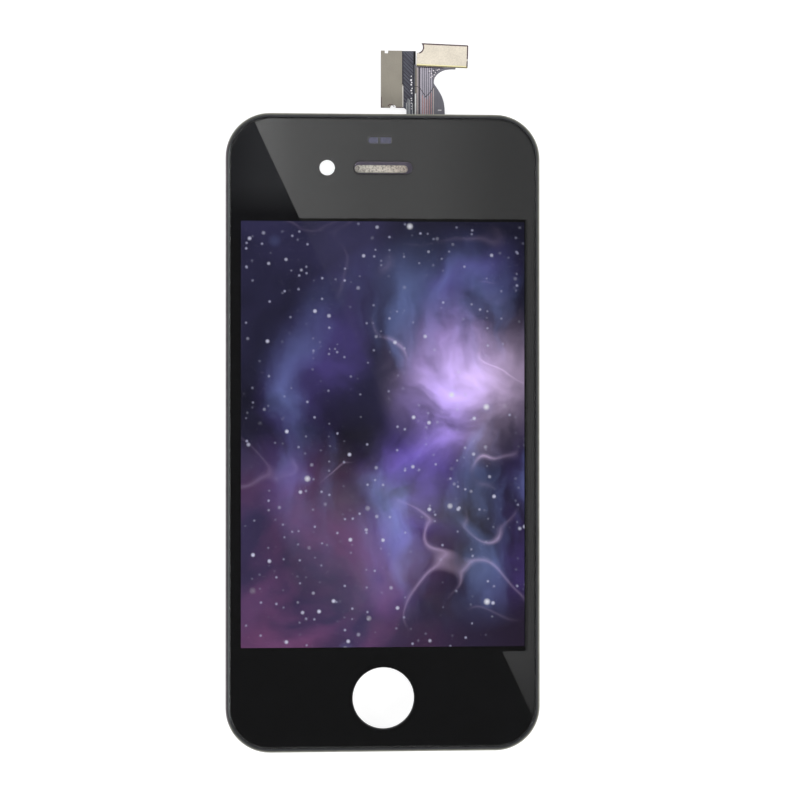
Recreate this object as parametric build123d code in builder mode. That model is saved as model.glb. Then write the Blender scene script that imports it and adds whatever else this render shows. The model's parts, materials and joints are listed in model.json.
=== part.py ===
from build123d import *
import math
import os

os.makedirs("parts", exist_ok=True)

# Screen assembly of a phone, lying on its back: glass up (+Z), earpiece towards +Y
# The origin is at the middle of the back, on the plane that the screw tabs stand on

# Bezel edge
bezel_corner_radius = 7.8
rim_height = 1.5
lip_width = 0.7
lip_edge_cut = 0.2
skirt_inset = 0.8
skirt_wall = 0.8
side_wall = 0.765

# Cover glass
glass_gap = 0.05
glass_thickness = 0.8
glass_proud = 0.12
glass_bevel = 0.15
print_inset = 0.12
print_thickness = 0.04
ink_relief = 0.2
layer_gap = 0.02

# Openings seen from the front
active_width = 49.87
active_length = 74.8
camera_x = -9.85
camera_window_radius = 1.34
home_radius = 5.4
home_edge_room = 0.65
slot_length = 10.25
slot_width = 2.04
slot_from_opening = 3.1
sensor_height = 1.35
sensor_left_width = 1.83
sensor_right_width = 2.16
sensor_space = 0.25
sensor_x = -0.61
sensor_from_slot = 5.0
sensor_from_top = 4.5
sensor_opening_margin = 0.6

# Sheets of the display, from the back
tray_recess = 0.1
tray_sheet = 0.15
tray_wall_height = 0.9
tray_window_count = 4
tray_window_length = 2.4
tray_window_height = 0.3
reflector_thickness = 0.06
guide_thickness = 0.4
film_thickness = 0.06
rim_tape_thickness = 0.06
polariser_thickness = 0.12
panel_glass_thickness = 0.25
display_adhesive_thickness = 0.15
sensor_glass_thickness = 0.3
glass_adhesive_thickness = 0.1

# Outline of the display module
module_side_margin = 0.95
module_bottom_margin = 1.6
module_top_margin = 3.7
module_clearance = 0.15
frame_moulding_wall = 0.5
panel_inset = 0.35
ledge_width = 2.5
polariser_inset = 0.3
film_clearance = 0.15
window_top_margin = 0.6
rim_tape_margin = 0.3
sensor_glass_overhang = 0.9

# Lamps
led_count = 6
led_length = 2.8
led_depth = 0.8
led_height = 0.42
led_window_length = 2.24
led_window_height = 0.25
led_window_depth = 0.15
led_pocket_room = 0.1
led_strip_thickness = 0.08
led_strip_width = 1.5
led_strip_margin = 2.915
led_tail_width = 3.0
led_tail_from_end = 3.8
led_tail_reach = 2.85
led_fold_reach = 0.1

# Bays of the bezel frame
web_thickness = 0.8
cross_wall = 0.8
fold_room = 2.6
boss_wall = 0.7
camera_seat_radius = 1.9
camera_boss_height = 0.9
camera_web_radius = 1.7
home_ring_clearance = 0.1
home_spacer_step = 0.35
home_spacer_wall = 0.6
home_spacer_height = 0.7

# Steel plates, posts and tabs
plate_thickness = 0.25
plate_clearance = 0.2
post_from_side = 6.3
post_from_end = 6.2
post_radius = 1.25
post_thread_radius = 0.6
post_thread_depth = 1.6
tab_sheet = 0.3
tab_width = 4.0
tab_reach = 2.7
tab_toe_cut = 0.7
tab_leg_height = 2.4
tab_hole_radius = 0.7
tab_hole_reach = 1.55
tab_from_end = 23.0
tab_fit = 0.05

# Earpiece
mesh_thickness = 0.1
mesh_seat_end = 0.6
mesh_seat_side = 0.4
mesh_cell = 0.54
mesh_hole = 0.36
mesh_window_length = 9.4
mesh_window_width = 1.4
mesh_window_shift_x = -0.32
mesh_window_shift_y = -0.1
gasket_thickness = 0.38
earpiece_web_length = 11.0
earpiece_web_width = 2.8

# Flex tails
flex_thickness = 0.1
stiffener_thickness = 0.18
connector_height = 0.8
connector_wall = 0.35
connector_floor = 0.2
connector_ground_gap = 0.05
tail_spacing = 0.08
tail_frame_gap = 0.05
contact_pitch = 0.5
contact_width = 0.25
chip_length = 16.0
chip_depth = 1.0
chip_height = 0.2

# Display flex
display_bond_left = -12.0
display_bond_right = 9.0
display_bond_depth = 1.0
display_fold_reach = 0.65
display_board_left = -20.5
display_board_right = 13.3
display_board_length = 11.8
display_board_shoulder = 2.6
display_board_left_slope = 4.0
display_board_right_slope = 5.0
display_board_corner_radius = 1.0
display_tail_left = 11.08
display_tail_width = 2.22
display_tail_turn_distance = 1.6
display_strip_left = 3.52
display_strip_distance = -0.4
display_neck_inset = 0.8
display_tail_reach = 11.8
display_stiffener_left = -0.3
display_stiffener_length = 10.15

# Touch flex
touch_bond_left = 1.0
touch_bond_right = 16.0
touch_bond_depth = 0.9
touch_bend_radius = 0.7
touch_tail_left = 5.68
touch_tail_right = 11.09
touch_fold_gap = 0.18
touch_neck_x = 9.15
touch_neck_distance = 4.95
touch_head_distance = 1.6
touch_head_right = 13.0
touch_stiffener_length = 9.15
touch_stiffener_width = 4.1
touch_stiffener_x = 10.64
touch_stiffener_reach = 10.96
touch_stiffener_turn = -2.1

# Tapes and foam on the back
back_tape_thickness = 0.06
edge_tape_width = 1.4
edge_tape_lap = 0.35
edge_tape_end_distance = 6.0
earth_tape_width = 6.0
earth_tape_lap = 3.3
earth_tape_x = 18.5
foam_thickness = 0.6
foam_wall = 0.9

# Heights worked out from the sheets
display_tail_level = connector_ground_gap + connector_height + layer_gap
touch_tail_level = display_tail_level + flex_thickness + tail_spacing
frame_back = touch_tail_level + flex_thickness + tail_frame_gap
tray_back = frame_back + tray_recess
board_mid = tray_back - 2 * layer_gap - flex_thickness / 2
tray_floor = tray_back + tray_sheet
reflector_bottom = tray_floor + layer_gap
guide_bottom = reflector_bottom + reflector_thickness + layer_gap
diffuser_bottom = guide_bottom + guide_thickness + layer_gap
lower_prism_bottom = diffuser_bottom + film_thickness + layer_gap
upper_prism_bottom = lower_prism_bottom + film_thickness + layer_gap
rim_tape_bottom = upper_prism_bottom + film_thickness + layer_gap
rear_polariser_bottom = rim_tape_bottom + rim_tape_thickness + layer_gap
array_bottom = rear_polariser_bottom + polariser_thickness + layer_gap
array_top = array_bottom + panel_glass_thickness
filter_bottom = array_top + layer_gap
front_polariser_bottom = filter_bottom + panel_glass_thickness + layer_gap
display_adhesive_bottom = front_polariser_bottom + polariser_thickness + layer_gap
sensor_bottom = display_adhesive_bottom + display_adhesive_thickness + layer_gap
glass_adhesive_bottom = sensor_bottom + sensor_glass_thickness + layer_gap
print_bottom = glass_adhesive_bottom + glass_adhesive_thickness + layer_gap
glass_bottom = print_bottom + print_thickness + layer_gap
glass_top = glass_bottom + glass_thickness
rim_top = glass_top - glass_proud
rim_bottom = rim_top - rim_height
shelf_top = glass_adhesive_bottom - layer_gap
web_bottom = shelf_top - web_thickness
plate_bottom = web_bottom - layer_gap - plate_thickness
post_top = plate_bottom - layer_gap

# Outline of the bezel, worked out from the display and what stands above and below it
home_spacer_inner_radius = home_radius + home_spacer_step
home_spacer_outer_radius = home_spacer_inner_radius + home_spacer_wall
home_frame_radius = home_spacer_outer_radius + home_ring_clearance
home_wall_radius = home_frame_radius + boss_wall
side_border = module_side_margin + module_clearance + side_wall + skirt_inset
display_to_slot = module_top_margin + fold_room + slot_from_opening
top_border = display_to_slot + sensor_from_slot + sensor_from_top
display_to_home = module_bottom_margin + module_clearance + home_wall_radius
bottom_border = display_to_home + home_wall_radius + home_edge_room + skirt_wall + skirt_inset
bezel_width = active_width + 2 * side_border
bezel_length = active_length + top_border + bottom_border
bezel_top = bezel_length / 2
active_y = (bottom_border - top_border) / 2
slot_y = active_y + active_length / 2 + display_to_slot
camera_y = slot_y
sensor_y = slot_y + sensor_from_slot
home_y = active_y - active_length / 2 - display_to_home
post_x = bezel_width / 2 - post_from_side
post_y = bezel_length / 2 - post_from_end
tab_pitch = bezel_length / 2 - tab_from_end

# Outlines worked out from the bezel and the display
skirt_width = bezel_width - 2 * skirt_inset
skirt_length = bezel_length - 2 * skirt_inset
skirt_corner_radius = bezel_corner_radius - skirt_inset
pocket_width = bezel_width - 2 * lip_width
pocket_length = bezel_length - 2 * lip_width
pocket_corner_radius = bezel_corner_radius - lip_width
glass_width = pocket_width - 2 * glass_gap
glass_length = pocket_length - 2 * glass_gap
glass_corner_radius = pocket_corner_radius - glass_gap
bay_width = skirt_width - 2 * skirt_wall
bay_length = skirt_length - 2 * skirt_wall
bay_corner_radius = skirt_corner_radius - skirt_wall
module_width = active_width + 2 * module_side_margin
module_bottom = active_y - active_length / 2 - module_bottom_margin
module_top = active_y + active_length / 2 + module_top_margin
module_length = module_top - module_bottom
module_y = (module_top + module_bottom) / 2
opening_width = module_width + 2 * module_clearance
opening_bottom = module_bottom - module_clearance
opening_top = module_top + fold_room
opening_length = opening_top - opening_bottom
opening_y = (opening_top + opening_bottom) / 2
moulding_width = module_width - 2 * tray_sheet - 2 * layer_gap
moulding_length = module_length - 2 * tray_sheet - 2 * layer_gap
window_width = moulding_width - 2 * frame_moulding_wall
window_bottom = module_bottom + tray_sheet + layer_gap + frame_moulding_wall
window_top = active_y + active_length / 2 + window_top_margin
window_length = window_top - window_bottom
window_y = (window_top + window_bottom) / 2
panel_width = module_width - 2 * panel_inset
panel_bottom = module_bottom + panel_inset
panel_top = module_top - panel_inset
panel_length = panel_top - panel_bottom
panel_y = (panel_top + panel_bottom) / 2
filter_top = panel_top - ledge_width
filter_length = filter_top - panel_bottom
filter_y = (filter_top + panel_bottom) / 2
polariser_width = panel_width - 2 * polariser_inset
polariser_length = filter_length - 2 * polariser_inset
film_width = window_width - 2 * film_clearance
film_length = window_length - 2 * film_clearance
sensor_glass_top = module_top + sensor_glass_overhang
sensor_glass_length = sensor_glass_top - module_bottom
sensor_glass_y = (sensor_glass_top + module_bottom) / 2
sensor_pair_width = sensor_left_width + sensor_space + sensor_right_width
sensor_left_x = sensor_x - sensor_pair_width / 2 + sensor_left_width / 2
sensor_right_x = sensor_x + sensor_pair_width / 2 - sensor_right_width / 2
sensor_round_x = sensor_left_x - sensor_left_width / 2 + sensor_height / 2
sensor_opening_width = sensor_pair_width + 2 * sensor_opening_margin
sensor_opening_height = sensor_height + 2 * sensor_opening_margin
mesh_x = mesh_window_shift_x
mesh_y = slot_y + mesh_window_shift_y
mesh_length = earpiece_web_length + 2 * mesh_seat_end
mesh_width = earpiece_web_width + 2 * mesh_seat_side
mesh_columns = int(mesh_window_length // mesh_cell)
mesh_rows = int(mesh_window_width // mesh_cell)
mesh_bottom = shelf_top - gasket_thickness - mesh_thickness - layer_gap + glass_adhesive_thickness


# Cover glass with the home hole and the earpiece slot, its edges bevelled
with BuildPart() as cover_glass:
    with BuildSketch(Plane.XY.offset(glass_bottom)):
        RectangleRounded(glass_width, glass_length, glass_corner_radius)
        with Locations((0, home_y)):
            Circle(home_radius, mode=Mode.SUBTRACT)
        with Locations((0, slot_y)):
            SlotOverall(slot_length, slot_width, mode=Mode.SUBTRACT)
    extrude(amount=glass_thickness)
    chamfer(cover_glass.faces().sort_by(Axis.Z)[-1].edges(), glass_bevel)
cover_glass.part.label = "cover_glass"
export_step(cover_glass.part, "parts/cover_glass.step")

# Black ink border on the back of the glass
with BuildPart() as border_print:
    with BuildSketch(Plane.XY.offset(print_bottom)):
        RectangleRounded(
            glass_width - 2 * print_inset,
            glass_length - 2 * print_inset,
            glass_corner_radius - print_inset,
        )
        with Locations((0, active_y)):
            Rectangle(active_width, active_length, mode=Mode.SUBTRACT)
        with Locations((0, home_y)):
            Circle(home_radius + ink_relief, mode=Mode.SUBTRACT)
        with Locations((0, slot_y)):
            SlotOverall(slot_length + 2 * ink_relief, slot_width + 2 * ink_relief, mode=Mode.SUBTRACT)
        with Locations((camera_x, camera_y)):
            Circle(camera_window_radius, mode=Mode.SUBTRACT)
        with Locations((sensor_round_x, sensor_y)):
            Circle(sensor_height / 2, mode=Mode.SUBTRACT)
            Rectangle(
                sensor_left_width - sensor_height / 2,
                sensor_height,
                align=(Align.MIN, Align.CENTER),
                mode=Mode.SUBTRACT,
            )
        with Locations((sensor_right_x, sensor_y)):
            Rectangle(sensor_right_width, sensor_height, mode=Mode.SUBTRACT)
    extrude(amount=print_thickness)
border_print.part.label = "border_print"
export_step(border_print.part, "parts/border_print.step")

# Two patches of translucent ink over the light sensors, the left one with a round end
patch_inset = 0.01
with BuildPart() as sensor_ink_left:
    with BuildSketch(Plane.XY.offset(print_bottom)):
        with Locations((sensor_round_x, sensor_y)):
            Circle(sensor_height / 2 - patch_inset)
            Rectangle(
                sensor_left_width - sensor_height / 2 - patch_inset,
                sensor_height - 2 * patch_inset,
                align=(Align.MIN, Align.CENTER),
            )
    extrude(amount=print_thickness)
sensor_ink_left.part.label = "sensor_ink_left"
export_step(sensor_ink_left.part, "parts/sensor_ink_left.step")

with BuildPart() as sensor_ink_right:
    with BuildSketch(Plane.XY.offset(print_bottom)):
        with Locations((sensor_right_x, sensor_y)):
            Rectangle(sensor_right_width - 2 * patch_inset, sensor_height - 2 * patch_inset)
    extrude(amount=print_thickness)
sensor_ink_right.part.label = "sensor_ink_right"
export_step(sensor_ink_right.part, "parts/sensor_ink_right.step")

# Clear adhesive between glass and touch sensor, filling the step of the ink border
with BuildPart() as glass_adhesive:
    with BuildSketch(Plane.XY.offset(glass_adhesive_bottom)):
        with Locations((0, sensor_glass_y)):
            Rectangle(panel_width - 2 * polariser_inset, sensor_glass_length - 2 * polariser_inset)
    extrude(amount=glass_adhesive_thickness)
    with BuildSketch(Plane.XY.offset(glass_adhesive_bottom)):
        with Locations((0, active_y)):
            Rectangle(active_width - 2 * layer_gap, active_length - 2 * layer_gap)
    extrude(amount=glass_adhesive_thickness + layer_gap + print_thickness)
glass_adhesive.part.label = "glass_adhesive"
export_step(glass_adhesive.part, "parts/glass_adhesive.step")

# Touch sensor glass, with a margin at the top for its flex
sensor_corner_cut = 0.4
with BuildPart() as touch_sensor:
    with BuildSketch(Plane.XY.offset(sensor_bottom)) as sensor_outline:
        with Locations((0, sensor_glass_y)):
            Rectangle(panel_width, sensor_glass_length)
        chamfer(sensor_outline.vertices(), sensor_corner_cut)
    extrude(amount=sensor_glass_thickness)
touch_sensor.part.label = "touch_sensor"
export_step(touch_sensor.part, "parts/touch_sensor.step")

# Clear adhesive between touch sensor and display
with BuildPart() as display_adhesive:
    with BuildSketch(Plane.XY.offset(display_adhesive_bottom)):
        with Locations((0, filter_y)):
            Rectangle(polariser_width - polariser_inset, polariser_length - polariser_inset)
    extrude(amount=display_adhesive_thickness)
display_adhesive.part.label = "display_adhesive"
export_step(display_adhesive.part, "parts/display_adhesive.step")

# Polarisers in front of and behind the panel
with BuildPart() as front_polariser:
    with BuildSketch(Plane.XY.offset(front_polariser_bottom)):
        with Locations((0, filter_y)):
            Rectangle(polariser_width, polariser_length)
    extrude(amount=polariser_thickness)
front_polariser.part.label = "front_polariser"
export_step(front_polariser.part, "parts/front_polariser.step")

with BuildPart() as rear_polariser:
    with BuildSketch(Plane.XY.offset(rear_polariser_bottom)):
        with Locations((0, filter_y)):
            Rectangle(polariser_width, polariser_length)
    extrude(amount=polariser_thickness)
rear_polariser.part.label = "rear_polariser"
export_step(rear_polariser.part, "parts/rear_polariser.step")

# The panel's two glasses: the rear one has a ledge at the top for chip and flex
with BuildPart() as colour_filter_glass:
    with BuildSketch(Plane.XY.offset(filter_bottom)):
        with Locations((0, filter_y)):
            Rectangle(panel_width, filter_length)
    extrude(amount=panel_glass_thickness)
colour_filter_glass.part.label = "colour_filter_glass"
export_step(colour_filter_glass.part, "parts/colour_filter_glass.step")

array_corner_cut = 0.5
with BuildPart() as array_glass:
    with BuildSketch(Plane.XY.offset(array_bottom)) as array_outline:
        with Locations((0, panel_y)):
            Rectangle(panel_width, panel_length)
        chamfer(array_outline.vertices().group_by(Axis.Y)[-1], array_corner_cut)
    extrude(amount=panel_glass_thickness)
array_glass.part.label = "array_glass"
export_step(array_glass.part, "parts/array_glass.step")

# Driver chip on the ledge
chip_y = (filter_top + panel_top - display_bond_depth) / 2
with BuildPart() as driver_chip:
    with BuildSketch(Plane.XY.offset(array_top + layer_gap)):
        with Locations((0, chip_y)):
            Rectangle(chip_length, chip_depth)
    extrude(amount=chip_height)
driver_chip.part.label = "driver_chip"
export_step(driver_chip.part, "parts/driver_chip.step")

# Black tape that holds the panel on the backlight, a frame round the lit window
with BuildPart() as rim_tape:
    with BuildSketch(Plane.XY.offset(rim_tape_bottom)):
        with Locations((0, module_y)):
            Rectangle(moulding_width, moulding_length)
        with Locations((0, active_y)):
            Rectangle(
                active_width + 2 * rim_tape_margin,
                active_length + 2 * rim_tape_margin,
                mode=Mode.SUBTRACT,
            )
    extrude(amount=rim_tape_thickness)
rim_tape.part.label = "rim_tape"
export_step(rim_tape.part, "parts/rim_tape.step")

# Films of the backlight, each with two ears that sit in notches of the white frame
ear_length = 6.0
ear_depth = 0.3
film_levels = {
    "diffuser_film": diffuser_bottom,
    "lower_prism_film": lower_prism_bottom,
    "upper_prism_film": upper_prism_bottom,
}
for film_name, film_level in film_levels.items():
    with BuildPart() as film:
        with BuildSketch(Plane.XY.offset(film_level)):
            with Locations((0, window_y)):
                Rectangle(film_width, film_length)
            with Locations((film_width / 2, window_y), (-film_width / 2, window_y)):
                Rectangle(2 * ear_depth, ear_length)
        extrude(amount=film_thickness)
    film.part.label = film_name
    export_step(film.part, f"parts/{film_name}.step")

# White reflector film under the light guide
with BuildPart() as reflector_film:
    with BuildSketch(Plane.XY.offset(reflector_bottom)):
        with Locations((0, window_y)):
            Rectangle(film_width, film_length)
    extrude(amount=reflector_thickness)
reflector_film.part.label = "reflector_film"
export_step(reflector_film.part, "parts/reflector_film.step")

# Light guide, with a shallow lens notch in its edge in front of each lamp
led_strip_length = moulding_width - 2 * led_strip_margin
led_pitch = led_strip_length / led_count
lamp_places = [(i - (led_count - 1) / 2) * led_pitch for i in range(led_count)]
guide_top = window_top - film_clearance
guide_notch_depth = 0.2
with BuildPart() as light_guide:
    with BuildSketch(Plane.XY.offset(guide_bottom)):
        with Locations((0, window_y)):
            Rectangle(film_width, film_length)
        with Locations([(x, guide_top) for x in lamp_places]):
            Rectangle(led_window_length, guide_notch_depth, mode=Mode.SUBTRACT)
    extrude(amount=guide_thickness)
light_guide.part.label = "light_guide"
export_step(light_guide.part, "parts/light_guide.step")

# White moulded frame round the guide: pockets for the lamps, hooks in the tray's windows
lamp_y = window_top + led_depth / 2
strip_y = lamp_y - led_depth / 2 + led_strip_width / 2
strip_end_y = strip_y + led_strip_width / 2
led_tail_x = led_tail_from_end - led_strip_length / 2
moulding_top = rim_tape_bottom - layer_gap
ear_room = 2 * film_clearance
tray_window_pitch = module_length / (tray_window_count + 1)
tray_window_level = tray_back + tray_wall_height / 2
hook_reach = tray_sheet + layer_gap
hook_room = 0.05
with BuildPart() as backlight_frame:
    with BuildSketch(Plane.XY.offset(reflector_bottom)):
        with Locations((0, module_y)):
            Rectangle(moulding_width, moulding_length)
        with Locations((0, window_y)):
            Rectangle(window_width, window_length, mode=Mode.SUBTRACT)
        with Locations([(x, lamp_y) for x in lamp_places]):
            Rectangle(
                led_length + 2 * led_pocket_room,
                led_depth + 2 * led_pocket_room,
                mode=Mode.SUBTRACT,
            )
    extrude(amount=moulding_top - reflector_bottom)
    with BuildSketch(Plane.XY.offset(tray_window_level - tray_window_height / 2 + hook_room)):
        with Locations((0, module_y)):
            with GridLocations(moulding_width, tray_window_pitch, 2, tray_window_count):
                Rectangle(2 * hook_reach, tray_window_length - 2 * hook_room)
    extrude(amount=tray_window_height - 2 * hook_room)
    with BuildSketch(Plane.XY.offset(diffuser_bottom - layer_gap)):
        with Locations((window_width / 2, window_y), (-window_width / 2, window_y)):
            Rectangle(2 * ear_depth, ear_length + 2 * ear_room)
    extrude(amount=moulding_top - diffuser_bottom + layer_gap, mode=Mode.SUBTRACT)
    with BuildSketch(Plane.XY.offset(reflector_bottom)):
        with Locations((0, strip_y)):
            Rectangle(led_strip_length + 2 * led_pocket_room, led_strip_width + 2 * led_pocket_room)
        with Locations((led_tail_x, (strip_end_y + module_top) / 2)):
            Rectangle(
                led_tail_width + 2 * led_pocket_room,
                module_top - strip_end_y + 2 * led_pocket_room,
            )
    extrude(amount=led_strip_thickness + 2 * layer_gap, mode=Mode.SUBTRACT)
backlight_frame.part.label = "backlight_frame"
export_step(backlight_frame.part, "parts/backlight_frame.step")

# Lamps in a row under the ledge, standing on their strip
for i, lamp_x in enumerate(lamp_places):
    with BuildPart() as led:
        with BuildSketch(Plane.XY.offset(reflector_bottom + led_strip_thickness + layer_gap)):
            with Locations((lamp_x, lamp_y)):
                Rectangle(led_length, led_depth)
        extrude(amount=led_height)
        window_face = led.faces().sort_by(Axis.Y)[0]
        with BuildSketch(window_face):
            Rectangle(led_window_length, led_window_height)
        extrude(amount=-led_window_depth, mode=Mode.SUBTRACT)
    led.part.label = f"led_{i + 1}"
    export_step(led.part, f"parts/led_{i + 1}.step")

# Flex strip of the lamps: its tail folds under the tray and ends on the display flex
strip_mid = reflector_bottom + led_strip_thickness / 2
strip_fold_end = board_mid - flex_thickness / 2 - layer_gap - led_strip_thickness / 2
strip_fold_radius = (strip_mid - strip_fold_end) / 2
strip_fold_y = module_top + led_fold_reach
strip_lap = 0.5
with BuildPart() as led_strip:
    with BuildSketch(Plane.XY.offset(reflector_bottom)):
        with Locations((0, strip_y)):
            Rectangle(led_strip_length, led_strip_width)
    extrude(amount=led_strip_thickness)
    with BuildSketch(Plane.YZ.offset(led_tail_x - led_tail_width / 2)):
        with BuildLine():
            strip_run = Line((strip_end_y - strip_lap, strip_mid), (strip_fold_y, strip_mid))
            strip_bend = JernArc(strip_run @ 1, strip_run % 1, strip_fold_radius, -180)
            Line(strip_bend @ 1, (module_top - led_tail_reach, strip_fold_end))
        trace(line_width=led_strip_thickness)
    extrude(amount=led_tail_width)
led_strip.part.label = "led_strip"
export_step(led_strip.part, "parts/led_strip.step")

# Steel tray of the backlight: folded walls with relieved corners and a pressed panel
corner_relief = 1.2
groove_side_distance = 4.5
groove_bottom_distance = 5.0
groove_top_distance = 17.0
groove_width = 0.6
groove_corner_cut = 2.0
groove_span = module_width - 2 * groove_side_distance
groove_length = module_length - groove_bottom_distance - groove_top_distance
groove_y = module_y + (groove_bottom_distance - groove_top_distance) / 2
tail_gate = led_tail_width + 4 * led_pocket_room
with BuildPart() as backlight_tray:
    with BuildSketch(Plane.XY.offset(tray_back)):
        with Locations((0, module_y)):
            Rectangle(module_width, module_length)
    extrude(amount=tray_wall_height)
    with BuildSketch(Plane.XY.offset(tray_floor)):
        with Locations((0, module_y)):
            Rectangle(module_width - 2 * tray_sheet, module_length - 2 * tray_sheet)
    extrude(amount=tray_wall_height, mode=Mode.SUBTRACT)
    with BuildSketch(Plane.XY.offset(tray_floor)):
        with Locations((0, module_y)):
            with GridLocations(module_width, module_length, 2, 2):
                Rectangle(corner_relief, corner_relief)
        with Locations((led_tail_x, module_top)):
            Rectangle(tail_gate, 4 * tray_sheet)
    extrude(amount=tray_wall_height, mode=Mode.SUBTRACT)
    with BuildSketch(Plane.YZ.offset(-module_width)):
        with Locations((module_y, tray_window_level)):
            with GridLocations(tray_window_pitch, 0, tray_window_count, 1):
                Rectangle(tray_window_length, tray_window_height)
    extrude(amount=2 * module_width, mode=Mode.SUBTRACT)
    with BuildSketch(Plane.XY.offset(tray_back)) as groove_outline:
        with Locations((0, groove_y)):
            Rectangle(groove_span, groove_length)
        chamfer(groove_outline.vertices(), groove_corner_cut)
        offset(amount=-groove_width, mode=Mode.SUBTRACT)
    extrude(amount=tray_sheet / 2, mode=Mode.SUBTRACT)
backlight_tray.part.label = "backlight_tray"
export_step(backlight_tray.part, "parts/backlight_tray.step")

# Bezel frame: rim and lip round the glass, skirt below, web and walls of the two bays
with BuildPart() as bezel_frame:
    with BuildSketch(Plane.XY.offset(frame_back)):
        RectangleRounded(skirt_width, skirt_length, skirt_corner_radius)
    extrude(amount=shelf_top - frame_back)
    with BuildSketch(Plane.XY.offset(rim_bottom)):
        RectangleRounded(bezel_width, bezel_length, bezel_corner_radius)
    extrude(amount=rim_height)
    chamfer(bezel_frame.faces().sort_by(Axis.Z)[-1].edges(), lip_edge_cut)
    with BuildSketch(Plane.XY.offset(shelf_top)):
        RectangleRounded(pocket_width, pocket_length, pocket_corner_radius)
    extrude(amount=rim_top - shelf_top, mode=Mode.SUBTRACT)
    with BuildSketch(Plane.XY.offset(frame_back)):
        with Locations((0, opening_y)):
            Rectangle(opening_width, opening_length)
    extrude(amount=shelf_top - frame_back, mode=Mode.SUBTRACT)
    with BuildSketch(Plane.XY.offset(frame_back)):
        RectangleRounded(bay_width, bay_length, bay_corner_radius)
        with Locations((0, opening_y)):
            Rectangle(bay_width, opening_length + 2 * cross_wall, mode=Mode.SUBTRACT)
    extrude(amount=web_bottom - frame_back, mode=Mode.SUBTRACT)
    # Round walls of the home opening and of the camera seat
    with BuildSketch(Plane.XY.offset(frame_back)):
        with Locations((0, home_y)):
            Circle(home_wall_radius)
    extrude(amount=web_bottom - frame_back)
    with BuildSketch(Plane.XY.offset(frame_back)):
        with Locations((0, opening_y)):
            Rectangle(opening_width, opening_length)
    extrude(amount=web_bottom - frame_back, mode=Mode.SUBTRACT)
    with BuildSketch(Plane.XY.offset(web_bottom - camera_boss_height)):
        with Locations((camera_x, camera_y)):
            Circle(camera_seat_radius + boss_wall)
    extrude(amount=camera_boss_height)
    with BuildSketch(Plane.XY.offset(web_bottom - camera_boss_height)):
        with Locations((camera_x, camera_y)):
            Circle(camera_seat_radius)
    extrude(amount=camera_boss_height, mode=Mode.SUBTRACT)
    # Openings through the web
    with BuildSketch(Plane.XY.offset(frame_back)):
        with Locations((0, home_y)):
            Circle(home_frame_radius)
        with Locations((camera_x, camera_y)):
            Circle(camera_web_radius)
        with Locations((mesh_x, mesh_y)):
            SlotOverall(earpiece_web_length, earpiece_web_width)
        with Locations((sensor_x, sensor_y)):
            Rectangle(sensor_opening_width, sensor_opening_height)
    extrude(amount=shelf_top - frame_back, mode=Mode.SUBTRACT)
    # Seat of the earpiece mesh
    with BuildSketch(Plane.XY.offset(mesh_bottom - layer_gap)):
        with Locations((mesh_x, mesh_y)):
            SlotOverall(mesh_length + 4 * layer_gap, mesh_width + 4 * layer_gap)
    extrude(amount=shelf_top - mesh_bottom + layer_gap, mode=Mode.SUBTRACT)
    # Pockets for the legs of the screw tabs
    with BuildSketch(Plane.XY.offset(frame_back)):
        with GridLocations(skirt_width, tab_pitch, 2, 3):
            Rectangle(2 * (tab_sheet + tab_fit), tab_width + 2 * tab_fit)
    extrude(amount=tab_leg_height + tab_fit - frame_back, mode=Mode.SUBTRACT)
bezel_frame.part.label = "bezel_frame"
export_step(bezel_frame.part, "parts/bezel_frame.step")

# Black tape between the shelf and the back of the glass
tape_edge = 0.25
with BuildPart() as frame_tape:
    with BuildSketch(Plane.XY.offset(glass_adhesive_bottom)):
        RectangleRounded(
            glass_width - 2 * tape_edge,
            glass_length - 2 * tape_edge,
            glass_corner_radius - tape_edge,
        )
        with Locations((0, opening_y)):
            Rectangle(opening_width, opening_length, mode=Mode.SUBTRACT)
        with Locations((0, home_y)):
            Circle(home_frame_radius, mode=Mode.SUBTRACT)
        with Locations((camera_x, camera_y)):
            Circle(camera_seat_radius, mode=Mode.SUBTRACT)
        with Locations((mesh_x, mesh_y)):
            SlotOverall(mesh_length + 4 * layer_gap, mesh_width + 4 * layer_gap, mode=Mode.SUBTRACT)
        with Locations((sensor_x, sensor_y)):
            Rectangle(sensor_opening_width, sensor_opening_height, mode=Mode.SUBTRACT)
    extrude(amount=glass_adhesive_thickness)
frame_tape.part.label = "frame_tape"
export_step(frame_tape.part, "parts/frame_tape.step")

# Earpiece mesh: a fine grid of holes in a thin steel strip with round ends
with BuildPart() as earpiece_mesh:
    with BuildSketch(Plane.XY.offset(mesh_bottom)):
        with Locations((mesh_x, mesh_y)):
            SlotOverall(mesh_length, mesh_width)
            with GridLocations(mesh_cell, mesh_cell, mesh_columns, mesh_rows):
                Rectangle(mesh_hole, mesh_hole, mode=Mode.SUBTRACT)
    extrude(amount=mesh_thickness)
earpiece_mesh.part.label = "earpiece_mesh"
export_step(earpiece_mesh.part, "parts/earpiece_mesh.step")

# Foam gasket between the mesh and the glass
with BuildPart() as earpiece_gasket:
    with BuildSketch(Plane.XY.offset(mesh_bottom + mesh_thickness + layer_gap)):
        with Locations((mesh_x, mesh_y)):
            SlotOverall(mesh_length, mesh_width)
            SlotOverall(mesh_window_length, mesh_window_width, mode=Mode.SUBTRACT)
    extrude(amount=gasket_thickness)
earpiece_gasket.part.label = "earpiece_gasket"
export_step(earpiece_gasket.part, "parts/earpiece_gasket.step")

# Spacer ring behind the home hole
with BuildPart() as home_button_spacer:
    with BuildSketch(Plane.XY.offset(print_bottom - layer_gap - home_spacer_height)):
        with Locations((0, home_y)):
            Circle(home_spacer_outer_radius)
            Circle(home_spacer_inner_radius, mode=Mode.SUBTRACT)
    extrude(amount=home_spacer_height)
home_button_spacer.part.label = "home_button_spacer"
export_step(home_button_spacer.part, "parts/home_button_spacer.step")

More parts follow.
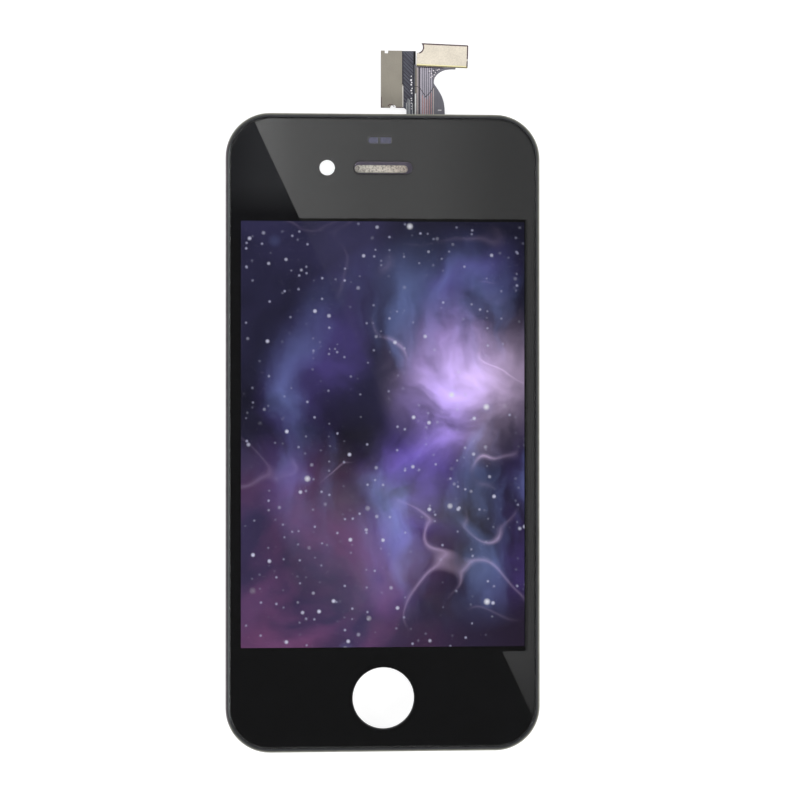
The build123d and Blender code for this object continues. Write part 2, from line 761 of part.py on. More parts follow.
# Steel plate behind the top bay, cut out for camera, earpiece and sensors
plate_width = bay_width - 2 * plate_clearance
plate_length = bay_length - 2 * plate_clearance
plate_corner_radius = bay_corner_radius - plate_clearance
top_plate_edge = opening_top + cross_wall + plate_clearance
with BuildPart() as top_plate:
    with BuildSketch(Plane.XY.offset(plate_bottom)):
        RectangleRounded(plate_width, plate_length, plate_corner_radius)
        with Locations((0, top_plate_edge)):
            Rectangle(plate_width, plate_length, align=(Align.CENTER, Align.MAX), mode=Mode.SUBTRACT)
        with Locations((camera_x, camera_y)):
            Circle(camera_seat_radius + boss_wall + plate_clearance, mode=Mode.SUBTRACT)
        with Locations((mesh_x, mesh_y)):
            SlotOverall(
                earpiece_web_length + 2 * plate_clearance,
                earpiece_web_width + 2 * plate_clearance,
                mode=Mode.SUBTRACT,
            )
        with Locations((sensor_x, sensor_y)):
            Rectangle(
                sensor_opening_width + 2 * plate_clearance,
                sensor_opening_height + 2 * plate_clearance,
                mode=Mode.SUBTRACT,
            )
    extrude(amount=plate_thickness)
top_plate.part.label = "top_plate"
export_step(top_plate.part, "parts/top_plate.step")

# Steel plate behind the bottom bay, open round the home wall
bottom_plate_edge = opening_bottom - cross_wall - plate_clearance
with BuildPart() as bottom_plate:
    with BuildSketch(Plane.XY.offset(plate_bottom)):
        RectangleRounded(plate_width, plate_length, plate_corner_radius)
        with Locations((0, bottom_plate_edge)):
            Rectangle(plate_width, plate_length, align=(Align.CENTER, Align.MIN), mode=Mode.SUBTRACT)
        with Locations((0, home_y)):
            Circle(home_wall_radius + plate_clearance, mode=Mode.SUBTRACT)
    extrude(amount=plate_thickness)
bottom_plate.part.label = "bottom_plate"
export_step(bottom_plate.part, "parts/bottom_plate.step")

# Four threaded posts welded to the backs of the plates
with BuildPart() as corner_posts:
    with BuildSketch(Plane.XY):
        with GridLocations(2 * post_x, 2 * post_y, 2, 2):
            Circle(post_radius)
    extrude(amount=post_top)
    with BuildSketch(Plane.XY):
        with GridLocations(2 * post_x, 2 * post_y, 2, 2):
            Circle(post_thread_radius)
    extrude(amount=post_thread_depth, mode=Mode.SUBTRACT)
corner_posts.part.label = "corner_posts"
export_step(corner_posts.part, "parts/corner_posts.step")

# Screw tabs: folded steel, the leg in its pocket in the skirt, the foot turned inwards
tab_rows = {"bottom": -tab_pitch, "middle": 0.0, "top": tab_pitch}
leg_outside = skirt_width / 2
for side, side_sign in {"left": -1, "right": 1}.items():
    for row, tab_y in tab_rows.items():
        with BuildPart() as side_tab:
            with BuildSketch(Plane.XZ.offset(-tab_y - tab_width / 2)):
                with BuildLine():
                    Polyline(
                        (side_sign * leg_outside, tab_leg_height),
                        (side_sign * leg_outside, 0),
                        (side_sign * (leg_outside - tab_reach), 0),
                        (side_sign * (leg_outside - tab_reach), tab_sheet),
                        (side_sign * (leg_outside - tab_sheet), tab_sheet),
                        (side_sign * (leg_outside - tab_sheet), tab_leg_height),
                        close=True,
                    )
                make_face()
            extrude(amount=tab_width)
            heel = side_tab.edges().filter_by(Axis.Y).sort_by_distance((side_sign * leg_outside, tab_y, 0))
            fillet(heel[0], tab_sheet)
            toe = side_tab.edges().filter_by(Axis.Z).sort_by_distance(
                (side_sign * (leg_outside - tab_reach), tab_y, 0)
            )
            chamfer(toe[0:2], tab_toe_cut)
            with BuildSketch(Plane.XY):
                with Locations((side_sign * (leg_outside - tab_hole_reach), tab_y)):
                    Circle(tab_hole_radius)
            extrude(amount=tab_sheet, mode=Mode.SUBTRACT)
        side_tab.part.label = f"side_tab_{side}_{row}"
        export_step(side_tab.part, f"parts/side_tab_{side}_{row}.step")

# Display flex: bonded on the ledge, folded behind the tray, its tail out over the top
fold_start = array_top + layer_gap + flex_thickness / 2
fold_radius = (fold_start - board_mid) / 2
display_fold_y = module_top + display_fold_reach
display_board_end = module_top - display_board_length
display_board_top = display_fold_y - display_board_shoulder
display_tail_turn_y = opening_top + display_tail_turn_distance
display_strip_y = bezel_top + display_strip_distance
display_end_y = bezel_top + display_tail_reach
display_stiffener_bottom = display_end_y - display_stiffener_length
tail_mid = display_tail_level + flex_thickness / 2
flex_lap = 0.4
step_height = board_mid - tail_mid
step_radius = 1.2
step_angle = math.degrees(math.acos(1 - step_height / (2 * step_radius)))
tail_right = display_tail_left + display_tail_width
strip_right = display_strip_left + display_tail_width
display_neck_left = display_strip_left + display_neck_inset
display_neck_radius = 0.9 * display_neck_inset
neck_corner = (display_neck_left, display_stiffener_bottom)
top_notch_width = 0.6
top_notch_depth = 0.48
top_notch_x = display_stiffener_left + 1.0
bottom_notch_radius = 0.52
bottom_notch_x = display_stiffener_left + 2.2
with BuildPart() as display_flex:
    with BuildSketch(Plane.YZ.offset(display_bond_left)):
        with BuildLine():
            bond_run = Line((panel_top - display_bond_depth, fold_start), (display_fold_y, fold_start))
            fold_bend = JernArc(bond_run @ 1, bond_run % 1, fold_radius, -180)
            Line(fold_bend @ 1, (display_board_end, board_mid))
        trace(line_width=flex_thickness)
    extrude(amount=display_bond_right - display_bond_left)
    with BuildSketch(Plane.XY.offset(board_mid - flex_thickness / 2)) as board_outline:
        with BuildLine():
            Polyline(
                (display_board_left, display_board_top),
                (display_board_left, display_board_end + display_board_left_slope),
                (display_bond_left, display_board_end),
                (display_bond_right, display_board_end),
                (display_board_right, display_board_end + display_board_right_slope),
                (display_board_right, display_fold_y + flex_lap),
                (display_tail_left, display_fold_y + flex_lap),
                (display_tail_left, display_board_top),
                close=True,
            )
        make_face()
        fillet(board_outline.vertices().group_by(Axis.Y)[0], display_board_corner_radius)
    extrude(amount=flex_thickness)
    with BuildSketch(Plane.YZ.offset(display_tail_left)):
        with BuildLine():
            lead_in = Line((display_fold_y, board_mid), (display_fold_y + flex_lap, board_mid))
            step_down = JernArc(lead_in @ 1, lead_in % 1, step_radius, -step_angle)
            step_level = JernArc(step_down @ 1, step_down % 1, step_radius, step_angle)
            Line(step_level @ 1, (display_tail_turn_y, tail_mid))
        trace(line_width=flex_thickness)
    extrude(amount=display_tail_width)
    with BuildSketch(Plane.XY.offset(display_tail_level)) as display_tail:
        with BuildLine():
            Polyline(
                (display_tail_left, display_tail_turn_y - flex_lap),
                (display_tail_left, display_tail_turn_y + flex_lap),
                (display_neck_left, display_strip_y + flex_lap),
                (display_neck_left, display_stiffener_bottom),
                (display_stiffener_left, display_stiffener_bottom),
                (display_stiffener_left, display_end_y),
                (strip_right, display_end_y),
                (strip_right, display_strip_y),
                (tail_right, display_tail_turn_y),
                (tail_right, display_tail_turn_y - flex_lap),
                close=True,
            )
        make_face()
        fillet(display_tail.vertices().sort_by_distance(neck_corner)[0], display_neck_radius)
        with Locations((top_notch_x, display_end_y)):
            Rectangle(top_notch_width, 2 * top_notch_depth, mode=Mode.SUBTRACT)
        with Locations((bottom_notch_x, display_stiffener_bottom)):
            Circle(bottom_notch_radius, mode=Mode.SUBTRACT)
    extrude(amount=flex_thickness)
display_flex.part.label = "display_flex"
export_step(display_flex.part, "parts/display_flex.step")

# Stiffener of the display tail, notched at both ends
display_stiffener_width = display_strip_left - display_stiffener_left
with BuildPart() as display_flex_stiffener:
    with BuildSketch(Plane.XY.offset(display_tail_level + flex_thickness + layer_gap)):
        with Locations((display_stiffener_left, display_stiffener_bottom)):
            Rectangle(
                display_stiffener_width - 2 * layer_gap,
                display_stiffener_length,
                align=(Align.MIN, Align.MIN),
            )
        with Locations((top_notch_x, display_end_y)):
            Rectangle(top_notch_width, 2 * top_notch_depth, mode=Mode.SUBTRACT)
        with Locations((bottom_notch_x, display_stiffener_bottom)):
            Circle(bottom_notch_radius, mode=Mode.SUBTRACT)
    extrude(amount=stiffener_thickness)
display_flex_stiffener.part.label = "display_flex_stiffener"
export_step(display_flex_stiffener.part, "parts/display_flex_stiffener.step")

# Connector under the display tail: a shroud with a tongue, and its two rows of contacts
display_connector_x = display_stiffener_left + display_stiffener_width / 2
display_connector_y = (display_stiffener_bottom + display_end_y) / 2
display_connector_length = 8.4
display_connector_width = 2.9
display_connector_top = display_tail_level - layer_gap
tongue_width = 0.7
connector_corner_cut = 0.25
with BuildPart() as display_connector:
    with BuildSketch(Plane.XY.offset(display_connector_top - connector_height)) as shroud:
        with Locations((display_connector_x, display_connector_y)):
            Rectangle(display_connector_width, display_connector_length)
        chamfer(shroud.vertices(), connector_corner_cut)
    extrude(amount=connector_height)
    with BuildSketch(Plane.XY.offset(display_connector_top - connector_height)):
        with Locations((display_connector_x, display_connector_y)):
            Rectangle(
                display_connector_width - 2 * connector_wall,
                display_connector_length - 2 * connector_wall,
            )
            Rectangle(tongue_width, display_connector_length - 4 * connector_wall, mode=Mode.SUBTRACT)
    extrude(amount=connector_height - connector_floor, mode=Mode.SUBTRACT)
display_connector.part.label = "display_connector"
export_step(display_connector.part, "parts/display_connector.step")

display_contact_count = 13
contact_height = 0.35
contact_depth = 0.12
contact_room = connector_floor + layer_gap
with BuildPart() as display_contacts:
    with BuildSketch(Plane.XY.offset(display_connector_top - contact_room - contact_height)):
        with Locations((display_connector_x, display_connector_y)):
            with GridLocations(
                display_connector_width - 2 * connector_wall - contact_depth - 2 * layer_gap,
                contact_pitch,
                2,
                display_contact_count,
            ):
                Rectangle(contact_depth, contact_width)
    extrude(amount=contact_height)
display_contacts.part.label = "display_contacts"
export_step(display_contacts.part, "parts/display_contacts.step")

# Capacitors on the back of the display flex
capacitor_length = 1.0
capacitor_width = 0.5
capacitor_height = 0.3
capacitor_pitch_x = 2.6
capacitor_pitch_y = 2.4
capacitors_from_board_end = 4.5
board_bottom = board_mid - flex_thickness / 2
with BuildPart() as flex_capacitors:
    with BuildSketch(Plane.XY.offset(board_bottom - layer_gap - capacitor_height)):
        with Locations(
            (
                (display_bond_left + display_bond_right) / 2,
                display_board_end + capacitors_from_board_end,
            )
        ):
            with GridLocations(capacitor_pitch_x, capacitor_pitch_y, 6, 2):
                Rectangle(capacitor_length, capacitor_width)
    extrude(amount=capacitor_height)
flex_capacitors.part.label = "flex_capacitors"
export_step(flex_capacitors.part, "parts/flex_capacitors.step")

# Touch flex: bonded under the sensor's top edge, down through the frame, out over the top
touch_start = sensor_bottom - layer_gap - flex_thickness / 2
touch_mid = touch_tail_level + flex_thickness / 2
touch_drop_y = display_fold_y + fold_radius + flex_thickness + touch_fold_gap
touch_run_end = touch_drop_y - touch_bend_radius
touch_flat_y = touch_drop_y + touch_bend_radius
touch_stiffener_y = bezel_top + touch_stiffener_reach
touch_head_y = touch_stiffener_y - touch_head_distance
touch_neck_y = touch_stiffener_y - touch_neck_distance
touch_head_edge = 0.8
touch_bite_spread = 1.15
touch_bite_rise = 2.05
touch_shoulder_spread = 1.5
touch_shoulder_drop = 2.5
touch_edge_distance = 0.4
scallop_radius = 1.0
scallop_inset = 0.1
scallop_from_corner = 0.75
scallop_lead = 0.4
scallop_x = scallop_inset - touch_stiffener_length / 2
scallop_y = touch_stiffener_width / 2 - scallop_from_corner
with BuildPart() as touch_flex:
    with BuildSketch(Plane.XY.offset(touch_start - flex_thickness / 2)):
        with Locations(((touch_bond_left + touch_bond_right) / 2, sensor_glass_top)):
            Rectangle(
                touch_bond_right - touch_bond_left,
                touch_bond_depth,
                align=(Align.CENTER, Align.MAX),
            )
    extrude(amount=flex_thickness)
    with BuildSketch(Plane.YZ.offset(touch_tail_left)):
        with BuildLine():
            touch_run = Line((sensor_glass_top - flex_lap, touch_start), (touch_run_end, touch_start))
            touch_bend = JernArc(touch_run @ 1, touch_run % 1, touch_bend_radius, -90)
            touch_drop = Line(touch_bend @ 1, (touch_drop_y, touch_mid + touch_bend_radius))
            touch_level = JernArc(touch_drop @ 1, touch_drop % 1, touch_bend_radius, 90)
            Line(touch_level @ 1, (touch_flat_y + 2 * flex_lap, touch_mid))
        trace(line_width=flex_thickness)
    extrude(amount=touch_tail_right - touch_tail_left)
    with BuildSketch(Plane.XY.offset(touch_tail_level)):
        with BuildLine():
            Line((touch_tail_left, touch_flat_y + flex_lap), (touch_tail_left, touch_head_y))
            Line((touch_tail_left, touch_head_y), (touch_head_right, touch_head_y))
            Line((touch_head_right, touch_head_y), (touch_head_right, touch_head_y - touch_head_edge))
            Spline(
                (touch_head_right, touch_head_y - touch_head_edge),
                (touch_neck_x + touch_bite_spread, touch_neck_y + touch_bite_rise),
                (touch_neck_x, touch_neck_y),
                tangents=((-1, 0), (0.15, -1)),
            )
            Spline(
                (touch_neck_x, touch_neck_y),
                (touch_neck_x + touch_shoulder_spread, touch_neck_y - touch_shoulder_drop),
                (touch_tail_right, bezel_top + touch_edge_distance),
                tangents=((0.55, -0.83), (0, -1)),
            )
            Line(
                (touch_tail_right, bezel_top + touch_edge_distance),
                (touch_tail_right, touch_flat_y + flex_lap),
            )
            Line((touch_tail_right, touch_flat_y + flex_lap), (touch_tail_left, touch_flat_y + flex_lap))
        make_face()
    extrude(amount=flex_thickness)
    with BuildSketch(Plane.XY.offset(touch_tail_level)):
        with Locations(Location((touch_stiffener_x, touch_stiffener_y), touch_stiffener_turn)):
            Rectangle(touch_stiffener_length - 4 * layer_gap, touch_stiffener_width - 4 * layer_gap)
    extrude(amount=flex_thickness)
    with BuildSketch(Plane.XY.offset(touch_tail_level)):
        with Locations(Location((touch_stiffener_x, touch_stiffener_y), touch_stiffener_turn)):
            with Locations((scallop_x, scallop_y)):
                Circle(scallop_radius)
    extrude(amount=flex_thickness, mode=Mode.SUBTRACT)
touch_flex.part.label = "touch_flex"
export_step(touch_flex.part, "parts/touch_flex.step")

# Stiffener of the touch tail, turned a little and scalloped at one corner
side_notch_radius = 0.15
side_notch_y = -0.6
with BuildPart() as touch_flex_stiffener:
    with BuildSketch(Plane.XY.offset(touch_tail_level + flex_thickness + layer_gap)) as touch_plate:
        with Locations(Location((touch_stiffener_x, touch_stiffener_y), touch_stiffener_turn)):
            Rectangle(touch_stiffener_length, touch_stiffener_width)
            with Locations((scallop_x, scallop_y)):
                Circle(scallop_radius, mode=Mode.SUBTRACT)
            with Locations((touch_stiffener_length / 2, side_notch_y)):
                Circle(side_notch_radius, mode=Mode.SUBTRACT)
        fillet(touch_plate.vertices().sort_by(Axis.X)[1], scallop_lead)
    extrude(amount=stiffener_thickness)
touch_flex_stiffener.part.label = "touch_flex_stiffener"
export_step(touch_flex_stiffener.part, "parts/touch_flex_stiffener.step")

# Connector under the touch tail and its contacts
touch_connector_length = 7.2
touch_connector_width = 2.8
touch_connector_shift = 0.3
touch_connector_x = touch_stiffener_x + touch_connector_shift
touch_connector_top = touch_tail_level - layer_gap
with BuildPart() as touch_connector:
    with BuildSketch(Plane.XY.offset(touch_connector_top - connector_height)):
        with Locations(Location((touch_connector_x, touch_stiffener_y), touch_stiffener_turn)):
            Rectangle(touch_connector_length, touch_connector_width)
    extrude(amount=connector_height)
    with BuildSketch(Plane.XY.offset(touch_connector_top - connector_height)):
        with Locations(Location((touch_connector_x, touch_stiffener_y), touch_stiffener_turn)):
            Rectangle(
                touch_connector_length - 2 * connector_wall,
                touch_connector_width - 2 * connector_wall,
            )
            Rectangle(touch_connector_length - 4 * connector_wall, tongue_width, mode=Mode.SUBTRACT)
    extrude(amount=connector_height - connector_floor, mode=Mode.SUBTRACT)
touch_connector.part.label = "touch_connector"
export_step(touch_connector.part, "parts/touch_connector.step")

touch_contact_count = 10
with BuildPart() as touch_contacts:
    with BuildSketch(Plane.XY.offset(touch_connector_top - contact_room - contact_height)):
        with Locations(Location((touch_connector_x, touch_stiffener_y), touch_stiffener_turn)):
            with GridLocations(
                contact_pitch,
                touch_connector_width - 2 * connector_wall - contact_depth - 2 * layer_gap,
                touch_contact_count,
                2,
            ):
                Rectangle(contact_width, contact_depth)
    extrude(amount=contact_height)
touch_contacts.part.label = "touch_contacts"
export_step(touch_contacts.part, "parts/touch_contacts.step")

# Black tapes on the back that lap from the side walls over the edges of the tray
back_tape_level = frame_back - layer_gap - back_tape_thickness
edge_tape_length = opening_length - 2 * edge_tape_end_distance
edge_tape_x = opening_width / 2 + edge_tape_lap - edge_tape_width / 2
for side, side_sign in {"left": -1, "right": 1}.items():
    with BuildPart() as edge_tape:
        with BuildSketch(Plane.XY.offset(back_tape_level)):
            with Locations((side_sign * edge_tape_x, module_y)):
                Rectangle(edge_tape_width, edge_tape_length)
        extrude(amount=back_tape_thickness)
    edge_tape.part.label = f"edge_tape_{side}"
    export_step(edge_tape.part, f"parts/edge_tape_{side}.step")

# Metal foil that earths the tray to the frame across the gap of the fold
earth_tape_top = opening_top + cross_wall
earth_tape_bottom = module_top - earth_tape_lap
with BuildPart() as earth_tape:
    with BuildSketch(Plane.XY.offset(back_tape_level)):
        with Locations((earth_tape_x, (earth_tape_top + earth_tape_bottom) / 2)):
            Rectangle(earth_tape_width, earth_tape_top - earth_tape_bottom)
    extrude(amount=back_tape_thickness)
earth_tape.part.label = "earth_tape"
export_step(earth_tape.part, "parts/earth_tape.step")

# Foam frame on the back of the top plate, round the opening of the light sensors
with BuildPart() as sensor_foam_frame:
    with BuildSketch(Plane.XY.offset(plate_bottom - layer_gap - foam_thickness)):
        with Locations((sensor_x, sensor_y)):
            Rectangle(
                sensor_opening_width + 2 * plate_clearance + 2 * foam_wall,
                sensor_opening_height + 2 * plate_clearance + 2 * foam_wall,
            )
            Rectangle(
                sensor_opening_width + 2 * plate_clearance,
                sensor_opening_height + 2 * plate_clearance,
                mode=Mode.SUBTRACT,
            )
    extrude(amount=foam_thickness)
sensor_foam_frame.part.label = "sensor_foam_frame"
export_step(sensor_foam_frame.part, "parts/sensor_foam_frame.step")
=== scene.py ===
import json
import math

import bmesh
import bpy
from bpy.props import FloatProperty, FloatVectorProperty, IntProperty, PointerProperty
from mathutils import Matrix, Vector


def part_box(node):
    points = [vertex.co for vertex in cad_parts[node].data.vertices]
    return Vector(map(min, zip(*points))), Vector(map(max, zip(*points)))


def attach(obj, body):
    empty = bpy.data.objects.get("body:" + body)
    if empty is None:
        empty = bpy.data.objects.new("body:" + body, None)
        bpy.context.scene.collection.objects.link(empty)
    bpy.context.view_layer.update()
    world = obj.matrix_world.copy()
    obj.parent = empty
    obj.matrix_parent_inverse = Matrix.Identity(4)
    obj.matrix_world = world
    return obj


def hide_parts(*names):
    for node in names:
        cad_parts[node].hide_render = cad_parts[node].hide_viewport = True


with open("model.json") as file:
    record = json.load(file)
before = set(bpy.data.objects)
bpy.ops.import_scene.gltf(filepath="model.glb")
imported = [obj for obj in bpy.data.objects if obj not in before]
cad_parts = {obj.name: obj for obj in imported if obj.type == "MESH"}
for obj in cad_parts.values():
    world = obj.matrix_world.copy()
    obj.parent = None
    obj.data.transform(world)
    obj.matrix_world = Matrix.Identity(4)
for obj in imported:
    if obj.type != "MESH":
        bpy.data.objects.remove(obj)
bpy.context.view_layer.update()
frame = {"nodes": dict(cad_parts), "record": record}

bl_info = {
    "name": "Phone LCD Screen",
    "version": (1, 0, 0),
    "blender": (4, 5, 0),
    "location": "View3D > Sidebar > Phone Screen",
    "description": "Finishes, fine pieces and a plain studio for the LCD screen of a phone",
    "category": "Object",
}

MM = 0.001
GLASS_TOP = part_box("cover_glass")[1].z
SHEET_GAP = 0.02 * MM
GLASS_INDEX = 1.51


def shade(red, green, blue):
    """A colour picked on a screen, 0 to 255, as the linear values that a shader takes."""
    return tuple(
        part / 12.92 if part <= 0.04045 else ((part + 0.055) / 1.055) ** 2.4
        for part in (red / 255, green / 255, blue / 255)
    )


def colour_prop(name, description, default):
    return FloatVectorProperty(
        name=name, description=description, default=default, size=3, min=0, max=1, subtype="COLOR"
    )


def size_prop(name, description, default, low=0.0):
    return FloatProperty(
        name=name, description=description, default=default, min=low, unit="LENGTH", subtype="DISTANCE"
    )


def angle_prop(name, description, degrees):
    return FloatProperty(
        name=name, description=description, default=math.radians(degrees), unit="ROTATION", subtype="ANGLE"
    )


def share_prop(name, description, default):
    return FloatProperty(name=name, description=description, default=default, min=0, max=1, subtype="FACTOR")


def spot_prop(name, description, default):
    """A place on the glass, across and along."""
    return FloatVectorProperty(name=name, description=description, default=default, size=2, unit="LENGTH")


# Sizes and colours that a user would change


class StudioSettings(bpy.types.PropertyGroup):
    camera_distance: size_prop("Camera distance", "From the camera to the middle of the screen", 0.3)
    camera_right: size_prop(
        "Camera offset across", "How far the screen stands off the lens axis, across", -3.148 * MM, low=-1
    )
    camera_up: size_prop(
        "Camera offset along", "How far the screen stands off the lens axis, along", -5.724 * MM, low=-1
    )
    camera_turn: angle_prop("Camera turn", "Turn of the screen about its length", 2.872)
    camera_tilt: angle_prop("Camera tilt", "Tilt of the screen about its width", -0.215)
    camera_lens: FloatProperty(
        name="Lens", description="Focal length on a sensor 36 mm wide, in millimetres", default=75.78, min=1
    )
    floor_size: size_prop("Floor", "Side of the square floor", 6.0)
    lamp_power: FloatProperty(name="Lamp power", description="Power of each side lamp, in watts", default=5.2)
    card_height: size_prop("Card height", "Height of the light card that the glass mirrors", 0.6)
    glare_top: spot_prop(
        "Glare, far end", "Where the card's edge crosses the glass near the earpiece",
        (-22.98 * MM, 55.3 * MM),
    )
    glare_bottom: spot_prop(
        "Glare, near end", "Where the card's edge crosses the glass near the home hole",
        (26.25 * MM, -49.8 * MM),
    )
    window_glare: share_prop(
        "Glare on the window", "Share of the card's light that stays over the lit window", 0.16
    )
    low_glare: share_prop(
        "Glare below the window", "Share of the card's light that is left at the lower end", 0.45
    )


class GlassSettings(bpy.types.PropertyGroup):
    border_ink: colour_prop("Border ink", "Black print on the back of the glass", shade(9, 9, 11))
    sensor_ink: colour_prop("Sensor ink", "Translucent print over the light sensors", shade(88, 88, 118))
    sensor_trim: size_prop("Sensor trim", "How far the black reaches over the top of the ink", 0.3 * MM)
    sensor_inset: size_prop("Sensor inset", "How far the black reaches over the ends of the ink", 0.16 * MM)
    sensor_gap: size_prop("Sensor gap", "Black bar between the two patches of sensor ink", 0.3 * MM)
    ground_edge: colour_prop("Ground edge", "Cut edges of the glass", shade(136, 128, 142))
    home_radius: size_prop("Home hole", "Radius of the home hole in the glass", 5.4 * MM)
    slot_place: size_prop("Earpiece slot place", "From the middle of the screen to the slot", 46.5 * MM)
    slot_length: size_prop("Earpiece slot length", "Length of the slot in the glass", 10.25 * MM)
    slot_width: size_prop("Earpiece slot width", "Width of the slot in the glass", 2.04 * MM)
    ink_relief: size_prop("Ink relief", "How far the printed border stops from the openings", 0.2 * MM)
    edge_width: size_prop("Edge rounding", "Rounding of the ground edges of the glass", 0.04 * MM)


class PictureSettings(bpy.types.PropertyGroup):
    night: colour_prop("Ground", "Deep ground of the lit picture", shade(14, 14, 34))
    dusk: colour_prop("Second ground", "Ground towards the foot of the picture", shade(34, 22, 42))
    haze: colour_prop("Haze", "Broad dim light over the ground", shade(58, 54, 92))
    violet: colour_prop("Violet veil", "Light of the folded veils", shade(124, 100, 206))
    blue: colour_prop("Blue streaks", "Light along the creases of the veils", shade(140, 162, 232))
    core: colour_prop("Core", "Brightest light of the veils, and the threads", shade(236, 208, 250))
    plum: colour_prop("Plum cloud", "Warm cloud near the foot", shade(122, 62, 98))
    sage: colour_prop("Sage cloud", "Pale cloud above the warm one", shade(96, 98, 90))
    brightness: FloatProperty(name="Brightness", description="Light of the lit panel", default=1.0, min=0)


class BezelSettings(bpy.types.PropertyGroup):
    plastic: colour_prop("Plastic", "Black moulding round the glass", shade(56, 57, 59))
    # Painted highlights: the outer, left and inner edge colours below, and the width of the outer one, stand
    # for light that the moulding's edges catch.
    edge_highlight: colour_prop("Edge", "Outer edge of the moulding, polished by handling", shade(148, 148, 134))
    left_edge_highlight: colour_prop("Left edge", "Outer edge on the left, which catches light", shade(128, 120, 124))
    inner_edge_highlight: colour_prop("Inner edge", "Inner edge of the lip on the left", shade(120, 127, 126))
    highlight_width: size_prop("Edge width", "How far the polish reaches in from the outer edge", 0.44 * MM)
    corner_radius: size_prop("Corner radius", "Radius of the moulding's corners", 7.8 * MM)
    edge_width: size_prop("Edge rounding", "Rounding of the moulded edges", 0.06 * MM)


class EarpieceSettings(bpy.types.PropertyGroup):
    wire_width: size_prop("Wire width", "Width of one flattened wire of the mesh", 0.2 * MM)
    wire_height: size_prop("Wire height", "Thickness of one flattened wire of the mesh", 0.045 * MM)
    wire_pitch: size_prop("Wire pitch", "Distance from one wire of the mesh to the next", 0.3 * MM)
    shaded_foot: size_prop("Shaded foot", "How much of the mesh is shaded at its lower rim", 1.12 * MM)
    steel: colour_prop("Mesh steel", "Bright steel at the left of the mesh", shade(254, 254, 242))
    warm_steel: colour_prop("Warm steel", "Bright steel at the right of the mesh", shade(254, 240, 226))


class TailSettings(bpy.types.PropertyGroup):
    slate: colour_prop("Display tail", "Film of the display tail", shade(82, 83, 92))
    mauve: colour_prop("Touch tail", "Film of the touch tail", shade(112, 111, 119))
    beige: colour_prop("Display stiffener", "Metal stiffener of the display tail", shade(161, 155, 143))
    cream: colour_prop("Touch stiffener", "Stiffener of the touch tail", shade(226, 217, 200))
    trace_width: size_prop("Trace width", "Width of one conductor", 0.15 * MM)
    trace_height: size_prop("Trace height", "Rise of a conductor over its film", 0.012 * MM)
    trace_count: IntProperty(name="Traces", description="Conductors along the touch tail", default=6, min=2)


class BackSettings(bpy.types.PropertyGroup):
    tray: colour_prop("Tray", "Steel tray behind the backlight", shade(176, 177, 178))
    plate: colour_prop("Plates", "Steel plates and screw tabs", shade(158, 158, 160))
    brass: colour_prop("Posts", "Threaded brass posts", shade(196, 164, 104))
    edge_width: size_prop("Edge rounding", "Rounding of the sheared steel edges", 0.03 * MM)
    thread_pitch: size_prop("Thread pitch", "Pitch of the thread in the posts", 0.25 * MM)
    ceramic: colour_prop("Capacitor ceramic", "Bodies of the small capacitors", shade(164, 130, 104))
    tin: colour_prop("Capacitor ends", "Tinned ends of the small capacitors", shade(206, 204, 198))
    end_length: size_prop("Capacitor end", "Length of one tinned end", 0.22 * MM)


# Helpers for finishes

MOTTLE_GRAINS = 18
CLEAR_GRAIN, CLEAR_ALPHA = 3000, 0.02


def put(tree, socket, value):
    """Gives an input its value: links a socket, sets a number or tuple."""
    if isinstance(value, bpy.types.NodeSocket):
        tree.links.new(value, socket)
    else:
        socket.default_value = value


def feed(tree, node, **values):
    """Gives the inputs of a node their values; a _ in a name stands for a space."""
    for name, value in values.items():
        put(tree, node.inputs[name.replace("_", " ")], value)


def add_node(tree, kind, **values):
    node = tree.nodes.new("ShaderNode" + kind)
    feed(tree, node, **values)
    return node


def link_noise(tree, scale, stretch=(1, 1, 1), detail=4.0, roughness=0.55, distortion=0.0):
    """Grain in the part's own coordinates, its scale in grains a metre; returns its value."""
    place = add_node(tree, "TexCoord").outputs["Object"]
    spread = add_node(tree, "Mapping", Vector=place, Scale=stretch)
    noise = add_node(
        tree, "TexNoise", Vector=spread.outputs["Vector"], Scale=scale, Detail=detail, Roughness=roughness,
        Distortion=distortion,
    )
    return noise.outputs["Fac"]


def link_range(tree, value, low, high, start=0.35, end=0.65):
    """The value moved from the range start to end into the range low to high."""
    return add_node(
        tree, "MapRange", Value=value, From_Min=start, From_Max=end, To_Min=low, To_Max=high
    ).outputs["Result"]


def link_between(tree, value, low, high, soft):
    """1 where the value lies between low and high, falling to 0 over a soft edge outside them."""
    return product(
        tree, link_range(tree, value, 0, 1, low - soft, low), link_range(tree, value, 1, 0, high, high + soft)
    )


def link_math(tree, operation, first, second=0.0):
    node = add_node(tree, "Math")
    node.operation = operation
    put(tree, node.inputs[0], first)
    put(tree, node.inputs[1], second)
    return node.outputs["Value"]


def product(tree, first, *others):
    for other in others:
        first = link_math(tree, "MULTIPLY", first, other)
    return first


def link_length(tree, across, along):
    """The length of a step that goes across and along."""
    squares = [product(tree, part, part) for part in (across, along)]
    return link_math(tree, "SQRT", link_math(tree, "ADD", *squares))


def place_parts(tree):
    """The x, y and z of each point in the part's own coordinates."""
    place = add_node(tree, "TexCoord").outputs["Object"]
    return tuple(add_node(tree, "SeparateXYZ", Vector=place).outputs)


def link_mix(tree, share, first, second, blend="MIX"):
    """Two colours, each three values or a socket, mixed by a share."""
    node = add_node(tree, "Mix")
    node.data_type = "RGBA"
    node.blend_type = blend
    feed(tree, node, Factor=share)
    colours = [socket for socket in node.inputs if socket.type == "RGBA"]
    for socket, value in zip(colours, (first, second)):
        put(tree, socket, value if isinstance(value, bpy.types.NodeSocket) else (*value, 1))
    return next(socket for socket in node.outputs if socket.type == "RGBA")


